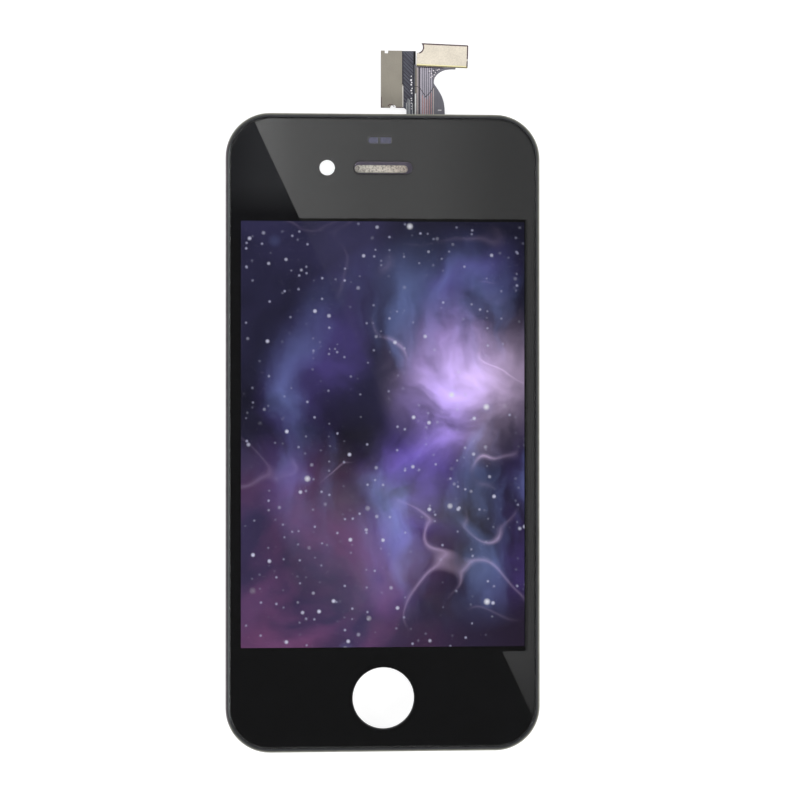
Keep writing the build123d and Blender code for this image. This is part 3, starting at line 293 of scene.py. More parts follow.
def ramp_levels(tree, value, levels, tint=(1.0, 1.0, 1.0)):
    """Grey levels along a value from 0 to 1, given as places and levels."""
    fall = add_node(tree, "ValToRGB", Fac=value)
    while len(fall.color_ramp.elements) < len(levels):
        fall.color_ramp.elements.new(0.5)
    for element, (position, level) in zip(fall.color_ramp.elements, levels):
        element.position = position
        element.color = (*(level * part for part in tint), 1)
    return fall.outputs["Color"]


def link_bump(tree, height, strength, distance, shader):
    bump = add_node(tree, "Bump", Strength=strength, Distance=distance, Height=height)
    feed(tree, shader, Normal=bump.outputs["Normal"])


def toned(colour, factor):
    """The colour made darker or lighter."""
    return tuple(min(1.0, part * factor) for part in colour)


def two_tone(tree, value, colour, spread, start, end):
    """The colour, from a little darker to a little lighter along a value."""
    dark, light = toned(colour, 1 - spread), toned(colour, 1 + spread)
    return link_mix(tree, link_range(tree, value, 0, 1, start, end), dark, light)


def start_finish(name):
    finish = bpy.data.materials.new(name)
    finish.use_nodes = True
    return finish, finish.node_tree, finish.node_tree.nodes["Principled BSDF"]


def grained(name, colour, spread=0.12, rough=(0.4, 0.55), metal=0.0, grain=6000, stretch=(1, 1, 1),
            bump=0.15, depth=0.01 * MM, **sockets):
    """A finish whose colour, gloss and surface vary with one grain and a broad mottle."""
    finish, tree, shader = start_finish(name)
    fine = link_noise(tree, grain, stretch)
    broad = link_noise(tree, grain / MOTTLE_GRAINS, stretch, detail=2.0)
    both = product(tree, link_math(tree, "ADD", fine, broad), 0.5)
    feed(
        tree, shader, Base_Color=two_tone(tree, both, colour, spread, 0.4, 0.6),
        Roughness=link_range(tree, both, *rough), Metallic=metal, **sockets,
    )
    link_bump(tree, fine, bump, depth, shader)
    return finish


def clear_film(name, tint):
    """A clear inner layer: it is bonded, so it adds next to no reflection of its own."""
    finish, tree, shader = start_finish(name)
    cloud = link_noise(tree, CLEAR_GRAIN, detail=2.0)
    feed(
        tree, shader, Base_Color=link_mix(tree, link_range(tree, cloud, 0, 1), toned(tint, 0.8), tint),
        Roughness=link_range(tree, cloud, 0.25, 0.35), Alpha=CLEAR_ALPHA, Specular_IOR_Level=0.0,
    )
    return finish


# Helpers for meshes

WELD_REACH = 0.0002 * MM
FLAT_TURN = math.radians(0.5)
SHARP_TURN = math.radians(30)
FLAT_WEIGHT = 90
SHARPEST_BEND = 0.35


def add_object(name, data):
    thing = bpy.data.objects.new(name, data)
    bpy.context.scene.collection.objects.link(thing)
    return thing


def add_piece(name, bm, finish, nodes=(), sharp_angle=math.radians(35)):
    """Makes the mesh a piece of the screen, riding on its body, and hides the nodes it stands for."""
    mesh = bpy.data.meshes.new(name)
    bm.to_mesh(mesh)
    bm.free()
    mesh.shade_smooth()
    mesh.set_sharp_from_angle(angle=sharp_angle)
    piece = add_object(name, mesh)
    mesh.materials.append(finish)
    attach(piece, "root")
    if nodes:
        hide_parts(*nodes)
    return piece


def dress(finish, *names):
    """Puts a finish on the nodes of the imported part."""
    for name in names:
        for slot in frame["nodes"][name].material_slots:
            slot.material = finish


def packed_shape(node):
    """The shape of a node, its corners welded, to work on."""
    bm = bmesh.new()
    bm.from_mesh(frame["nodes"][node].data)
    bmesh.ops.remove_doubles(bm, verts=bm.verts, dist=WELD_REACH)
    return bm


def round_edges(bm, edges, width, segments=2):
    bmesh.ops.bevel(
        bm, geom=edges, offset=width, segments=segments, profile=0.5, affect="EDGES", clamp_overlap=True
    )


def rounded_copy(name, node, finish, width, segments=2):
    """The node's own shape with its sharp edges rounded, which stands for the node."""
    bm = packed_shape(node)
    bmesh.ops.dissolve_limit(bm, angle_limit=FLAT_TURN, verts=bm.verts, edges=bm.edges)
    sharp = [e for e in bm.edges if len(e.link_faces) == 2 and e.calc_face_angle(0) > SHARP_TURN]
    round_edges(bm, sharp, width, segments)
    bmesh.ops.triangulate(bm, faces=[f for f in bm.faces if len(f.verts) > 4])
    piece = add_piece(name, bm, finish, (node,))
    flat = piece.modifiers.new("flat_faces_stay_flat", "WEIGHTED_NORMAL")
    flat.keep_sharp = True
    flat.weight = FLAT_WEIGHT
    return piece


def join_rings(bm, rings, flip=False, closed=False):
    """Faces from each ring of points to the next, and over both ends unless the rings are closed."""
    for first, second in zip(rings, rings[1:] + (rings[:1] if closed else [])):
        for i in range(len(first)):
            after = (i + 1) % len(first)
            others = (second[i], second[after], first[after])
            bm.faces.new((first[i], *(others if flip else others[::-1])))
    if not closed:
        for end in (rings[0][::-1], rings[-1]):
            bm.faces.new(end[::-1] if flip else end)


def circle(count):
    """Points round a circle of radius 1."""
    return [(math.cos(a), math.sin(a)) for a in (2 * math.pi * k / count for k in range(count))]


def half_chord(radius, away):
    """Half the length of a circle's chord at a distance from its middle."""
    return math.sqrt(max(0.0, radius ** 2 - away ** 2))


def stadium(centre, half_long, half_wide, count=64):
    """Points round a strip with round ends, or round a circle where both halves are the same."""
    points = []
    for x, y in circle(count):
        shift = math.copysign(half_long - half_wide, x)
        points.append((centre.x + shift + half_wide * x, centre.y + half_wide * y))
    return points


def side_steps(points):
    """For each point of a line, the unit step to its left, lengthened so that strips keep their width."""
    steps = []
    for i, here in enumerate(points):
        ways = []
        if i:
            ways.append((here - points[i - 1]).normalized())
        if i + 1 < len(points):
            ways.append((points[i + 1] - here).normalized())
        mean = sum(ways, Vector((0, 0))).normalized()
        stretch = 1 / max(SHARPEST_BEND, mean.dot(ways[0]))
        steps.append(Vector((-mean.y, mean.x)) * stretch)
    return steps


def strips(runs, width, low, high):
    """Thin raised strips, each along a run of places in millimetres in the plane of a film."""
    bm = bmesh.new()
    for run in runs:
        points = [Vector((x * MM, y * MM)) for x, y in run]
        rings = []
        for point, step in zip(points, side_steps(points)):
            left, right = point + step * width / 2, point - step * width / 2
            corners = ((*left, low), (*left, high), (*right, high), (*right, low))
            rings.append([bm.verts.new(corner) for corner in corners])
        join_rings(bm, rings)
    return bm


def discs(spots, level, height, sides):
    """Low round points, each given by its place and radius in millimetres."""
    bm = bmesh.new()
    for x, y, radius in spots:
        ring = [((x + radius * across) * MM, (y + radius * along) * MM) for across, along in circle(sides)]
        join_rings(bm, [[bm.verts.new((*place, z)) for place in ring] for z in (level, level + height)])
    return bm


def add_wire(bm, points, half_width, half_height, sides=6):
    """A flattened wire along points, its ends closed."""
    rings = []
    for i, point in enumerate(points):
        ahead = points[min(i + 1, len(points) - 1)] - points[max(i - 1, 0)]
        side = ahead.cross(Vector((0, 0, 1))).normalized()
        up = side.cross(ahead).normalized()
        rings.append([
            bm.verts.new(point + side * x * half_width + up * y * half_height) for x, y in circle(sides)
        ])
    join_rings(bm, rings, flip=True)


def loose_boxes(node):
    """Low and high corner of each separate body of a node."""
    bm = packed_shape(node)
    bm.verts.index_update()
    seen, boxes = set(), []
    for start in bm.verts:
        if start.index in seen:
            continue
        seen.add(start.index)
        body, ahead = [], [start]
        while ahead:
            vert = ahead.pop()
            body.append(vert.co.copy())
            for edge in vert.link_edges:
                other = edge.other_vert(vert)
                if other.index not in seen:
                    seen.add(other.index)
                    ahead.append(other)
        boxes.append([Vector([pick(co[i] for co in body) for i in range(3)]) for pick in (min, max)])
    bm.free()
    return boxes


def add_block(bm, low, high, rounding):
    """A block between two corners with its edges rounded."""
    block = bmesh.new()
    for vert in bmesh.ops.create_cube(block, size=1)["verts"]:
        vert.co = Vector([low[i] + (high[i] - low[i]) * (vert.co[i] + 0.5) for i in range(3)])
    round_edges(block, list(block.edges), rounding)
    ready = bpy.data.meshes.new("block")
    block.to_mesh(ready)
    block.free()
    bm.from_mesh(ready)
    bpy.data.meshes.remove(ready)


# The studio: camera, floor, lamps and the cards that the glass mirrors. Places on the glass are
# across and along from its middle, and levels are shares of white.

WHITE = (1, 1, 1, 1)
SENSOR_WIDTH = 36.0
NEAREST, FARTHEST = 0.01, 20.0
FLOOR_SHADES = (0.3, 0.3, 0.3), (0.32, 0.32, 0.32)
FLOOR_GRAIN, FLOOR_ROUGHNESS, FLOOR_GLOW = 4, 0.9, 0.88
CEILING_LEVEL = 0.09
SKY_LEVELS = ((0.0, 0.95), (0.25, 0.85), (0.6, 0.5), (0.9, CEILING_LEVEL))
SKY_TINT = (1.0, 1.0, 1.02)
LAMP_PLACES = ((-0.75, 0.45, 0.75), (0.8, -0.1, 0.7), (0.0, -0.85, 0.6))
LAMP_LENGTH, LAMP_WIDTH = 0.7, 0.5
CARD_OVERHANG = 30 * MM
CARD_RIGHT = 60 * MM
CARD_LEVELS = ((0.0, 0.76), (0.14, 0.53), (0.4, 0.42), (0.62, 0.4), (0.85, 0.27), (1.0, 0.25))
CARD_STRENGTH = 2.0
CARD_SOFTNESS = 0.2 * MM
LEVELS_LEFT, LEVELS_RIGHT, LEVELS_FOOT = -22 * MM, 27 * MM, -56 * MM
CORNER_CARD_LEFT, CORNER_CARD_NEAR, CORNER_CARD_FAR = -40 * MM, 34 * MM, 62 * MM
CORNER_DARK, CORNER_BRIGHT = (-27 * MM, 38.2 * MM), (-21 * MM, 43.5 * MM)
CORNER_TINT = (0.97, 0.99, 1.08, 1)
CORNER_SHARE = 0.45
CORNER_LEVEL = 0.3


def camera_place(studio):
    """The camera's place, from how the screen lies before it."""
    turn = Matrix.Rotation(studio.camera_turn, 4, "Y") @ Matrix.Rotation(studio.camera_tilt, 4, "X")
    seen = Matrix.Translation((studio.camera_right, studio.camera_up, -studio.camera_distance)) @ turn
    return seen.inverted()


def mirrored_on_card(studio, spot):
    """Where the card has to be for the camera to see it mirrored at that spot of the glass."""
    eye = camera_place(studio).translation
    under_glass = Vector((eye.x, eye.y, 2 * GLASS_TOP - eye.z))
    aim = Vector((spot[0], spot[1], GLASS_TOP)) - under_glass
    return under_glass + aim * ((studio.card_height - under_glass.z) / aim.z)


def seen_on_glass(studio, point):
    """Where on top of the glass the camera sees a point that lies under it."""
    eye = camera_place(studio).translation
    sunk = (GLASS_TOP - point.z) / GLASS_INDEX
    share = sunk / (eye.z - GLASS_TOP + sunk)
    return point.x + (eye.x - point.x) * share, point.y + (eye.y - point.y) * share


def make_camera(studio):
    lens = bpy.data.cameras.new("camera")
    lens.sensor_width = SENSOR_WIDTH
    lens.lens = studio.camera_lens
    lens.clip_start = NEAREST
    lens.clip_end = FARTHEST
    camera = add_object("camera", lens)
    camera.matrix_world = camera_place(studio)
    bpy.context.scene.camera = camera


def make_floor(studio):
    """A floor that takes soft shadows, and is white where it is seen, mirrored or seen through glass."""
    bm = bmesh.new()
    bmesh.ops.create_grid(bm, x_segments=2, y_segments=2, size=studio.floor_size / 2)
    mesh = bpy.data.meshes.new("floor")
    bm.to_mesh(mesh)
    bm.free()
    floor = add_object("floor", mesh)
    finish, tree, shader = start_finish("white_floor")
    path = add_node(tree, "LightPath").outputs
    seen = link_math(tree, "MAXIMUM", path["Is Camera Ray"], path["Is Glossy Ray"])
    glow = link_math(tree, "MAXIMUM", product(tree, seen, FLOOR_GLOW), path["Is Transmission Ray"])
    cloud = link_noise(tree, FLOOR_GRAIN, detail=2.0)
    feed(
        tree, shader, Base_Color=link_mix(tree, cloud, *FLOOR_SHADES), Roughness=FLOOR_ROUGHNESS,
        Specular_IOR_Level=0.0, Emission_Color=WHITE, Emission_Strength=glow,
    )
    finish.cycles.emission_sampling = "NONE"
    mesh.materials.append(finish)


def glowing(name):
    """A material that only shines: returns it, its nodes and the emission."""
    finish, tree, shader = start_finish(name)
    tree.nodes.remove(shader)
    glow = add_node(tree, "Emission")
    feed(tree, tree.nodes["Material Output"], Surface=glow.outputs["Emission"])
    finish.cycles.emission_sampling = "NONE"
    return finish, tree, glow


def hang_card(studio, name, spots, finish):
    """A card over the screen that the camera sees mirrored at those spots of the glass, and nowhere else."""
    mesh = bpy.data.meshes.new(name)
    mesh.from_pydata([mirrored_on_card(studio, spot) for spot in spots], [], [tuple(range(len(spots)))])
    card = add_object(name, mesh)
    mesh.materials.append(finish)
    card.visible_camera = False
    card.visible_diffuse = False
    card.visible_shadow = False


def glare_edge(studio):
    """Far end, near end and direction of the line on the glass where the glare ends."""
    top, bottom = Vector(studio.glare_top), Vector(studio.glare_bottom)
    return top, bottom, (bottom - top).normalized()


def make_card(studio):
    """A soft white card: the edge of the glare is its edge. Over the lit window it is dim."""
    top, bottom, along = glare_edge(studio)
    start, end = top - along * CARD_OVERHANG, bottom + along * CARD_OVERHANG
    finish, tree, glow = glowing("light_card")
    across, up, _ = place_parts(tree)
    left_end, right_end = (mirrored_on_card(studio, (side, 0)).x for side in (LEVELS_LEFT, LEVELS_RIGHT))
    light = ramp_levels(tree, link_range(tree, across, 0, 1, left_end, right_end), CARD_LEVELS)
    low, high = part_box("front_polariser")
    corners = (Vector((low.x, low.y, high.z)), high)
    window_low, window_high = (mirrored_on_card(studio, seen_on_glass(studio, place)) for place in corners)
    window = product(
        tree, link_between(tree, across, window_low.x, window_high.x, CARD_SOFTNESS),
        link_between(tree, up, window_low.y, window_high.y, CARD_SOFTNESS),
    )
    dim = link_range(tree, window, 1, studio.window_glare, 0, 1)
    low_end = mirrored_on_card(studio, (0, LEVELS_FOOT)).y
    fade = link_range(tree, up, studio.low_glare, 1, low_end, window_low.y)
    feed(tree, glow, Color=light, Strength=product(tree, dim, fade, CARD_STRENGTH))
    hang_card(studio, "light_card", [start, end, (CARD_RIGHT, end.y), (CARD_RIGHT, start.y)], finish)


def make_corner_card(studio):
    """A faint card that lifts the dark side of the glass near its far corner."""
    top, _, along = glare_edge(studio)
    far, near = (top + along * ((y - top.y) / along.y) for y in (CORNER_CARD_FAR, CORNER_CARD_NEAR))
    finish, tree, glow = glowing("corner_card")
    across, up, _ = place_parts(tree)
    low, high = (mirrored_on_card(studio, spot) for spot in (CORNER_DARK, CORNER_BRIGHT))
    lift = product(
        tree, link_range(tree, up, 0, 1, low.y, high.y),
        link_range(tree, across, CORNER_SHARE, 1, low.x, high.x),
    )
    feed(tree, glow, Color=CORNER_TINT, Strength=link_range(tree, lift, CEILING_LEVEL, CORNER_LEVEL, 0, 1))
    outer = [(CORNER_CARD_LEFT, CORNER_CARD_FAR), (CORNER_CARD_LEFT, CORNER_CARD_NEAR)]
    hang_card(studio, "corner_card", [near, far, *outer], finish)


def make_lamps(studio):
    """Large soft lamps round the screen, hidden from the rays that the glass mirrors."""
    for i, place in enumerate(LAMP_PLACES):
        light = bpy.data.lights.new(f"side_lamp_{i + 1}", "AREA")
        light.shape = "RECTANGLE"
        light.size = LAMP_LENGTH
        light.size_y = LAMP_WIDTH
        light.energy = studio.lamp_power
        lamp = add_object(light.name, light)
        lamp.location = place
        lamp.visible_glossy = False
        lamp.rotation_mode = "QUATERNION"
        lamp.rotation_quaternion = (-Vector(place)).to_track_quat("-Z", "Y")


def make_world():
    """A dim ceiling that the black glass mirrors, bright round the sides, white where it is seen."""
    world = bpy.data.worlds.new("studio_world")
    bpy.context.scene.world = world
    world.use_nodes = True
    tree = world.node_tree
    around = tree.nodes["Background"]
    place = add_node(tree, "TexCoord").outputs["Generated"]
    height = add_node(tree, "SeparateXYZ", Vector=place).outputs["Z"]
    feed(tree, around, Color=ramp_levels(tree, height, SKY_LEVELS, SKY_TINT))
    white = add_node(tree, "Background", Color=WHITE)
    mix = add_node(tree, "MixShader", Fac=add_node(tree, "LightPath").outputs["Is Camera Ray"])
    for socket, sky in zip(mix.inputs[1:], (around, white)):
        put(tree, socket, sky.outputs["Background"])
    feed(tree, tree.nodes["World Output"], Surface=mix.outputs["Shader"])


class BuildStudio(bpy.types.Operator):
    """Camera, white floor, soft lamps, the mirrored cards and the world"""

    bl_idname = "phone_screen.studio"
    bl_label = "Studio"

    def execute(self, context):
        studio = context.scene.screen_studio
        make_camera(studio)
        make_floor(studio)
        make_card(studio)
        make_corner_card(studio)
        make_lamps(studio)
        make_world()
        context.scene.view_settings.view_transform = "Standard"
        return {"FINISHED"}


# Glass, inks and the clear layers behind it

CLEAN_GLASS, SMEARED_GLASS = (0.985, 0.99, 0.988), (0.97, 0.98, 0.977)
SMEAR_GRAIN, SMEAR_ROUGHNESS = 90, 0.012
ADHESIVE_TINT, SENSOR_TINT = (0.02, 0.02, 0.024), (0.02, 0.022, 0.024)
HOLE_BEVEL_SLOPE, EDGE_SLOPE = 0.98, 0.3
EDGE_ROOM = 0.3 * MM
SENSOR_SOFTNESS = 0.07 * MM


def glass_finish():
    """Clear glass with the faintest smear."""
    finish, tree, shader = start_finish("cover_glass")
    smear = link_noise(tree, SMEAR_GRAIN, stretch=(1, 0.5, 1), detail=3.0, distortion=0.8)
    feed(
        tree, shader, Roughness=link_range(tree, smear, 0.0, SMEAR_ROUGHNESS, 0.45, 0.75),
        Base_Color=link_mix(tree, smear, CLEAN_GLASS, SMEARED_GLASS),
        Transmission_Weight=1.0, IOR=GLASS_INDEX,
    )
    return finish


def glass_openings(glass):
    """Middle, half length and half width of the home hole and of the earpiece slot."""
    low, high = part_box("home_button_spacer")
    hole = (low + high) / 2
    slot = Vector((0, glass.slot_place, 0))
    return (
        (hole, glass.home_radius, glass.home_radius),
        (slot, glass.slot_length / 2, glass.slot_width / 2),
    )


def grind_edges(piece, glass, ground, inked):
    """Gives the cut faces of the glass finishes of their own: inked in the home hole, ground elsewhere.
    In the home hole the bevels are inked too; elsewhere they stay clear."""
    piece.data.materials.append(ground)
    piece.data.materials.append(inked)
    (middle, radius, _), _ = glass_openings(glass)
    for face in piece.data.polygons:
        away = face.center - middle
        in_hole = max(abs(away.x), abs(away.y)) < radius + EDGE_ROOM
        if abs(face.normal.z) < (HOLE_BEVEL_SLOPE if in_hole else EDGE_SLOPE):
            face.material_index = 2 if in_hole else 1


def ink_rim(middle, half_long, half_wide, width):
    """The border's black, carried on to the very edge of an opening in the glass."""
    low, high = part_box("border_print")
    bm = bmesh.new()
    rings = [
        [bm.verts.new((x, y, z)) for x, y in stadium(middle, half_long + out, half_wide + out)]
        for out, z in ((0, low.z), (width, low.z), (width, high.z), (0, high.z))
    ]
    join_rings(bm, rings, closed=True)
    bmesh.ops.recalc_face_normals(bm, faces=bm.faces)
    return bm


def sensor_finish(glass):
    """Translucent ink that ends in the black border: at the top, at the ends and between the two patches."""
    finish, tree, shader = start_finish("sensor_ink")
    left_low, left_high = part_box("sensor_ink_left")
    right_low, right_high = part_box("sensor_ink_right")
    x, y, _ = place_parts(tree)
    top = left_high.y - glass.sensor_trim
    left, right = left_low.x + glass.sensor_inset, right_high.x - glass.sensor_inset
    radius = (top - left_low.y) / 2
    beyond = link_math(tree, "MINIMUM", link_math(tree, "SUBTRACT", x, left + radius))
    reach = link_length(tree, beyond, link_math(tree, "SUBTRACT", y, top - radius))
    round_end = link_range(tree, reach, 1, 0, radius, radius + SENSOR_SOFTNESS)
    ends = link_between(tree, x, left, right, SENSOR_SOFTNESS)
    middle, half_gap = (left_high.x + right_low.x) / 2 + glass.sensor_gap / 3, glass.sensor_gap / 2
    gap = link_between(tree, x, middle - half_gap, middle + half_gap, SENSOR_SOFTNESS)
    shown = product(tree, round_end, ends, link_math(tree, "SUBTRACT", 1.0, gap))
    cloud = link_noise(tree, 2600, stretch=(0.5, 1, 1), detail=4.0)
    ink = link_mix(
        tree, link_range(tree, cloud, 0, 1), toned(glass.sensor_ink, 0.86), toned(glass.sensor_ink, 1.18)
    )
    feed(
        tree, shader, Base_Color=link_mix(tree, shown, glass.border_ink, ink),
        Roughness=link_range(tree, cloud, 0.35, 0.5), Specular_IOR_Level=0.0,
    )
    return finish


class FinishGlass(bpy.types.Operator):
    """Cover glass with ground edges, its inks, and the clear layers bonded behind it"""

    bl_idname = "phone_screen.glass"
    bl_label = "Glass and inks"

    def execute(self, context):
        glass = context.scene.screen_glass
        pane = rounded_copy(
            "ground_cover_glass", "cover_glass", glass_finish(), glass.edge_width, segments=3
        )
        grind_edges(
            pane, glass, grained("ground_edge", glass.ground_edge, 0.1, (0.5, 0.7), grain=5000),
            grained("inked_edge", shade(20, 20, 22), 0.15, (0.5, 0.7), grain=5000),
        )
        ink = grained(
            "border_ink", glass.border_ink, 0.15, (0.45, 0.6), grain=4000, bump=0.05, Specular_IOR_Level=0.0
        )
        dress(ink, "border_print")
        for name, opening in zip(("home_hole_ink_rim", "earpiece_slot_ink_rim"), glass_openings(glass)):
            add_piece(name, ink_rim(*opening, glass.ink_relief), ink)
        dress(sensor_finish(glass), "sensor_ink_left", "sensor_ink_right")
        dress(clear_film("clear_adhesive", ADHESIVE_TINT), "glass_adhesive", "display_adhesive")
        dress(clear_film("sensor_glass", SENSOR_TINT), "touch_sensor")
        return {"FINISHED"}


# The lit picture and the panel. Places on the picture are shares of its width from its middle.

DARK_PANEL = (0.006, 0.006, 0.008, 1)
DUST_LIGHT, DOT_LIGHT, STAR_LIGHT = shade(206, 206, 240), shade(222, 222, 248), shade(244, 244, 254)


def vector_math(tree, operation, *values):
    """A vector operation on its values, each a tuple or a socket; returns the node's outputs."""
    node = add_node(tree, "VectorMath")
    node.operation = operation
    for socket, value in zip(node.inputs, values):
        put(tree, socket, value)
    return node.outputs


def linked_spot(tree, place, centre, radius):
    """A soft round share, 1 at its centre and 0 at its radius."""
    away = vector_math(tree, "DISTANCE", place, (*centre, 0))["Value"]
    return link_range(tree, away, 1, 0, 0, radius)


def linked_specks(tree, place, scale, size, keep):
    """Scattered light dots: one in some cells of a grid of random points, each of its own strength."""
    cells = add_node(tree, "TexVoronoi", Vector=place, Scale=scale).outputs
    dot = link_range(tree, cells["Distance"], 1, 0, size * 0.2, size)
    chance = add_node(tree, "SeparateColor", Color=cells["Color"]).outputs["Red"]
    return product(tree, dot, link_range(tree, chance, 0, 1, 1 - keep, 1 - keep * 0.3))


def linked_cloud(tree, place, scale, detail, distortion, shift):
    """The value of a soft noise at the places, moved by a shift so that two clouds differ."""
    moved = vector_math(tree, "ADD", place, (*shift, 0))["Vector"]
    noise = add_node(tree, "TexNoise", Vector=moved, Scale=scale, Detail=detail, Distortion=distortion)
    return noise.outputs["Fac"]


def ranged_cloud(tree, place, start, end, low=0, high=1, **cloud):
    """A soft noise, moved from the range start to end into the range low to high."""
    return link_range(tree, linked_cloud(tree, place, **cloud), low, high, start, end)


def linked_drift(tree, place, scale, reach, detail):
    """The places pushed about by a noise, so that what is drawn with them flows."""
    noise = add_node(tree, "TexNoise", Vector=place, Scale=scale, Detail=detail)
    return vector_math(tree, "MULTIPLY_ADD", noise.outputs["Color"], (reach, reach, 0), place)["Vector"]


def linked_threads(tree, place, scale, width, shift):
    """Thin bright lines that wander like loose threads and fade in places."""
    level = linked_cloud(tree, place, scale, detail=2.5, distortion=0.3, shift=shift)
    off = link_math(tree, "ABSOLUTE", link_math(tree, "SUBTRACT", level, 0.5))
    line = link_math(tree, "POWER", link_range(tree, off, 1, 0, 0, width), 2.0)
    fade = ranged_cloud(tree, place, 0.46, 0.64, scale=3.1, detail=2.0, distortion=0.0, shift=shift[::-1])
    return product(tree, line, fade)


def picture_place(tree):
    """Places on the picture: its middle is 0 and its width is 1."""
    low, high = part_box("front_polariser")
    middle, unit = (low + high) / 2, high.x - low.x
    return add_node(
        tree, "Mapping", Vector=add_node(tree, "TexCoord").outputs["Object"],
        Location=(-middle.x / unit, -middle.y / unit, 0), Scale=(1 / unit, 1 / unit, 0),
    ).outputs["Vector"]


def turned_place(tree, place, angle, stretch=1):
    """The places turned by an angle in degrees, and drawn out along it by a stretch under 1."""
    return add_node(
        tree, "Mapping", Vector=place, Rotation=(0, 0, math.radians(angle)), Scale=(1, stretch, 1)
    ).outputs["Vector"]


def linked_folds(tree, place, angle, scale, distortion, stretch):
    """Soft bands like folded silk that run at an angle; returns their value."""
    return add_node(
        tree, "TexWave", Vector=turned_place(tree, place, angle, stretch), Scale=scale, Distortion=distortion,
        Detail=5.0, Detail_Scale=0.8, Detail_Roughness=0.65,
    ).outputs["Fac"]


def linked_streaks(tree, place, angle, scale, stretch, start, end):
    """Long wisps that run at an angle: a noise drawn out along it."""
    turned = turned_place(tree, place, angle, stretch)
    return ranged_cloud(tree, turned, start, end, scale=scale, detail=9.0, distortion=0.3, shift=(2.2, 6.1))


def add_light(tree, under, share, colour):
    """The colour laid over what is under it as light is, by adding."""
    return link_mix(tree, share, under, colour, "ADD")


def add_veils(tree, picture, colour, place, flow, haze, veil_glow):
    """The folded veils, the streaks along their creases and the bright core, laid over a colour."""
    folds = linked_folds(tree, flow, angle=28, scale=0.7, distortion=3.5, stretch=0.5)
    creases = linked_streaks(tree, flow, angle=48, scale=4.6, stretch=0.3, start=0.44, end=0.7)
    wisps = ranged_cloud(
        tree, flow, 0.36, 0.66, low=0.15, high=1.2, scale=4.2, detail=9.0, distortion=0.4, shift=(7.7, 3.3)
    )
    core_glow = linked_spot(tree, place, centre=(0.3, 0.2), radius=0.34)
    far_glow = linked_spot(tree, place, centre=(-0.4, 0.1), radius=0.3)
    reach = link_math(tree, "POWER", veil_glow, 1.1)
    veil = product(tree, link_math(tree, "POWER", folds, 1.3), reach, wisps, 1.15)
    streaks = product(tree, link_math(tree, "POWER", creases, 1.4), reach, 1.25)
    far_veil = product(tree, link_math(tree, "POWER", creases, 1.5), far_glow, haze)
    core_wisps = link_range(tree, wisps, 0.2, 1.3, 0.15, 1.1)
    core = product(tree, link_math(tree, "POWER", core_glow, 1.5), core_wisps)
    colour = add_light(tree, colour, veil, picture.violet)
    colour = add_light(tree, colour, streaks, picture.blue)
    colour = add_light(tree, colour, far_veil, picture.blue)
    return add_light(tree, colour, core, picture.core)


def add_dots(tree, picture, colour, place):
    """Dust, dots and a few lights with a faint halo, laid over a colour."""
    dust = linked_specks(tree, place, scale=38, size=0.24, keep=0.42)
    dots = linked_specks(tree, place, scale=18, size=0.16, keep=0.75)
    lights = linked_specks(tree, place, scale=8, size=0.11, keep=0.7)
    halo = linked_specks(tree, place, scale=8, size=0.24, keep=0.3)
    colour = add_light(tree, colour, product(tree, halo, 0.12), picture.blue)
    colour = link_mix(tree, product(tree, dust, 0.6), colour, DUST_LIGHT)
    colour = link_mix(tree, dots, colour, DOT_LIGHT)
    return link_mix(tree, lights, colour, STAR_LIGHT)


def picture_finish(picture):
    """A made-up picture of folded veils of light and light dots over a dark ground, lit from behind."""
    finish, tree, shader = start_finish("lit_picture")
    place = picture_place(tree)
    flow = linked_drift(tree, place, scale=2.2, reach=0.36, detail=7.0)
    slow_flow = linked_drift(tree, place, scale=1.7, reach=0.5, detail=1.2)
    parts = add_node(tree, "SeparateXYZ", Vector=place).outputs
    down = link_range(tree, parts["Y"], 0, 1, 0.2, -0.75)
    right = link_range(tree, parts["X"], 0, 1, 0.0, 0.5)

    haze = ranged_cloud(tree, flow, 0.32, 0.68, scale=1.6, detail=8.0, distortion=0.2, shift=(4.4, 1.9))
    colour = link_mix(tree, down, picture.night, picture.dusk)
    haze_light = product(tree, haze, link_range(tree, right, 0.8, 0.1, 0, 1))
    colour = add_light(tree, colour, haze_light, picture.haze)

    veil_glow = linked_spot(tree, place, centre=(0.24, 0.02), radius=0.72)
    colour = add_veils(tree, picture, colour, place, flow, haze, veil_glow)

    plum_glow = linked_spot(tree, place, centre=(-0.3, -0.6), radius=0.62)
    plum_cloud = ranged_cloud(
        tree, flow, 0.4, 0.62, low=0.05, scale=2.6, detail=8.0, distortion=0.3, shift=(0.3, 7.7)
    )
    colour = add_light(tree, colour, product(tree, plum_glow, plum_cloud), picture.plum)
    sage_glow = linked_spot(tree, place, centre=(0.02, -0.34), radius=0.4)
    sage_cloud = ranged_cloud(tree, flow, 0.4, 0.7, scale=3.4, detail=6.0, distortion=0.2, shift=(8.1, 1.7))
    colour = add_light(tree, colour, product(tree, sage_glow, sage_cloud), picture.sage)

    threads = linked_threads(tree, slow_flow, scale=1.7, width=0.012, shift=(2.3, 5.1))
    thread_light = link_math(tree, "ADD", product(tree, veil_glow, 0.6), 0.1)
    colour = add_light(tree, colour, product(tree, threads, thread_light), picture.core)
    feed(
        tree, shader, Base_Color=DARK_PANEL, Roughness=0.35, Specular_IOR_Level=0.0,
        Emission_Color=add_dots(tree, picture, colour, place), Emission_Strength=picture.brightness,
    )
    return finish


def dress_rows(rows):
    """Finishes of nodes: name, shade, spread, roughness and other values of each, and its nodes."""
    for name, colour, spread, rough, others, nodes in rows:
        dress(grained(name, shade(*colour), spread, rough, **others), *nodes)


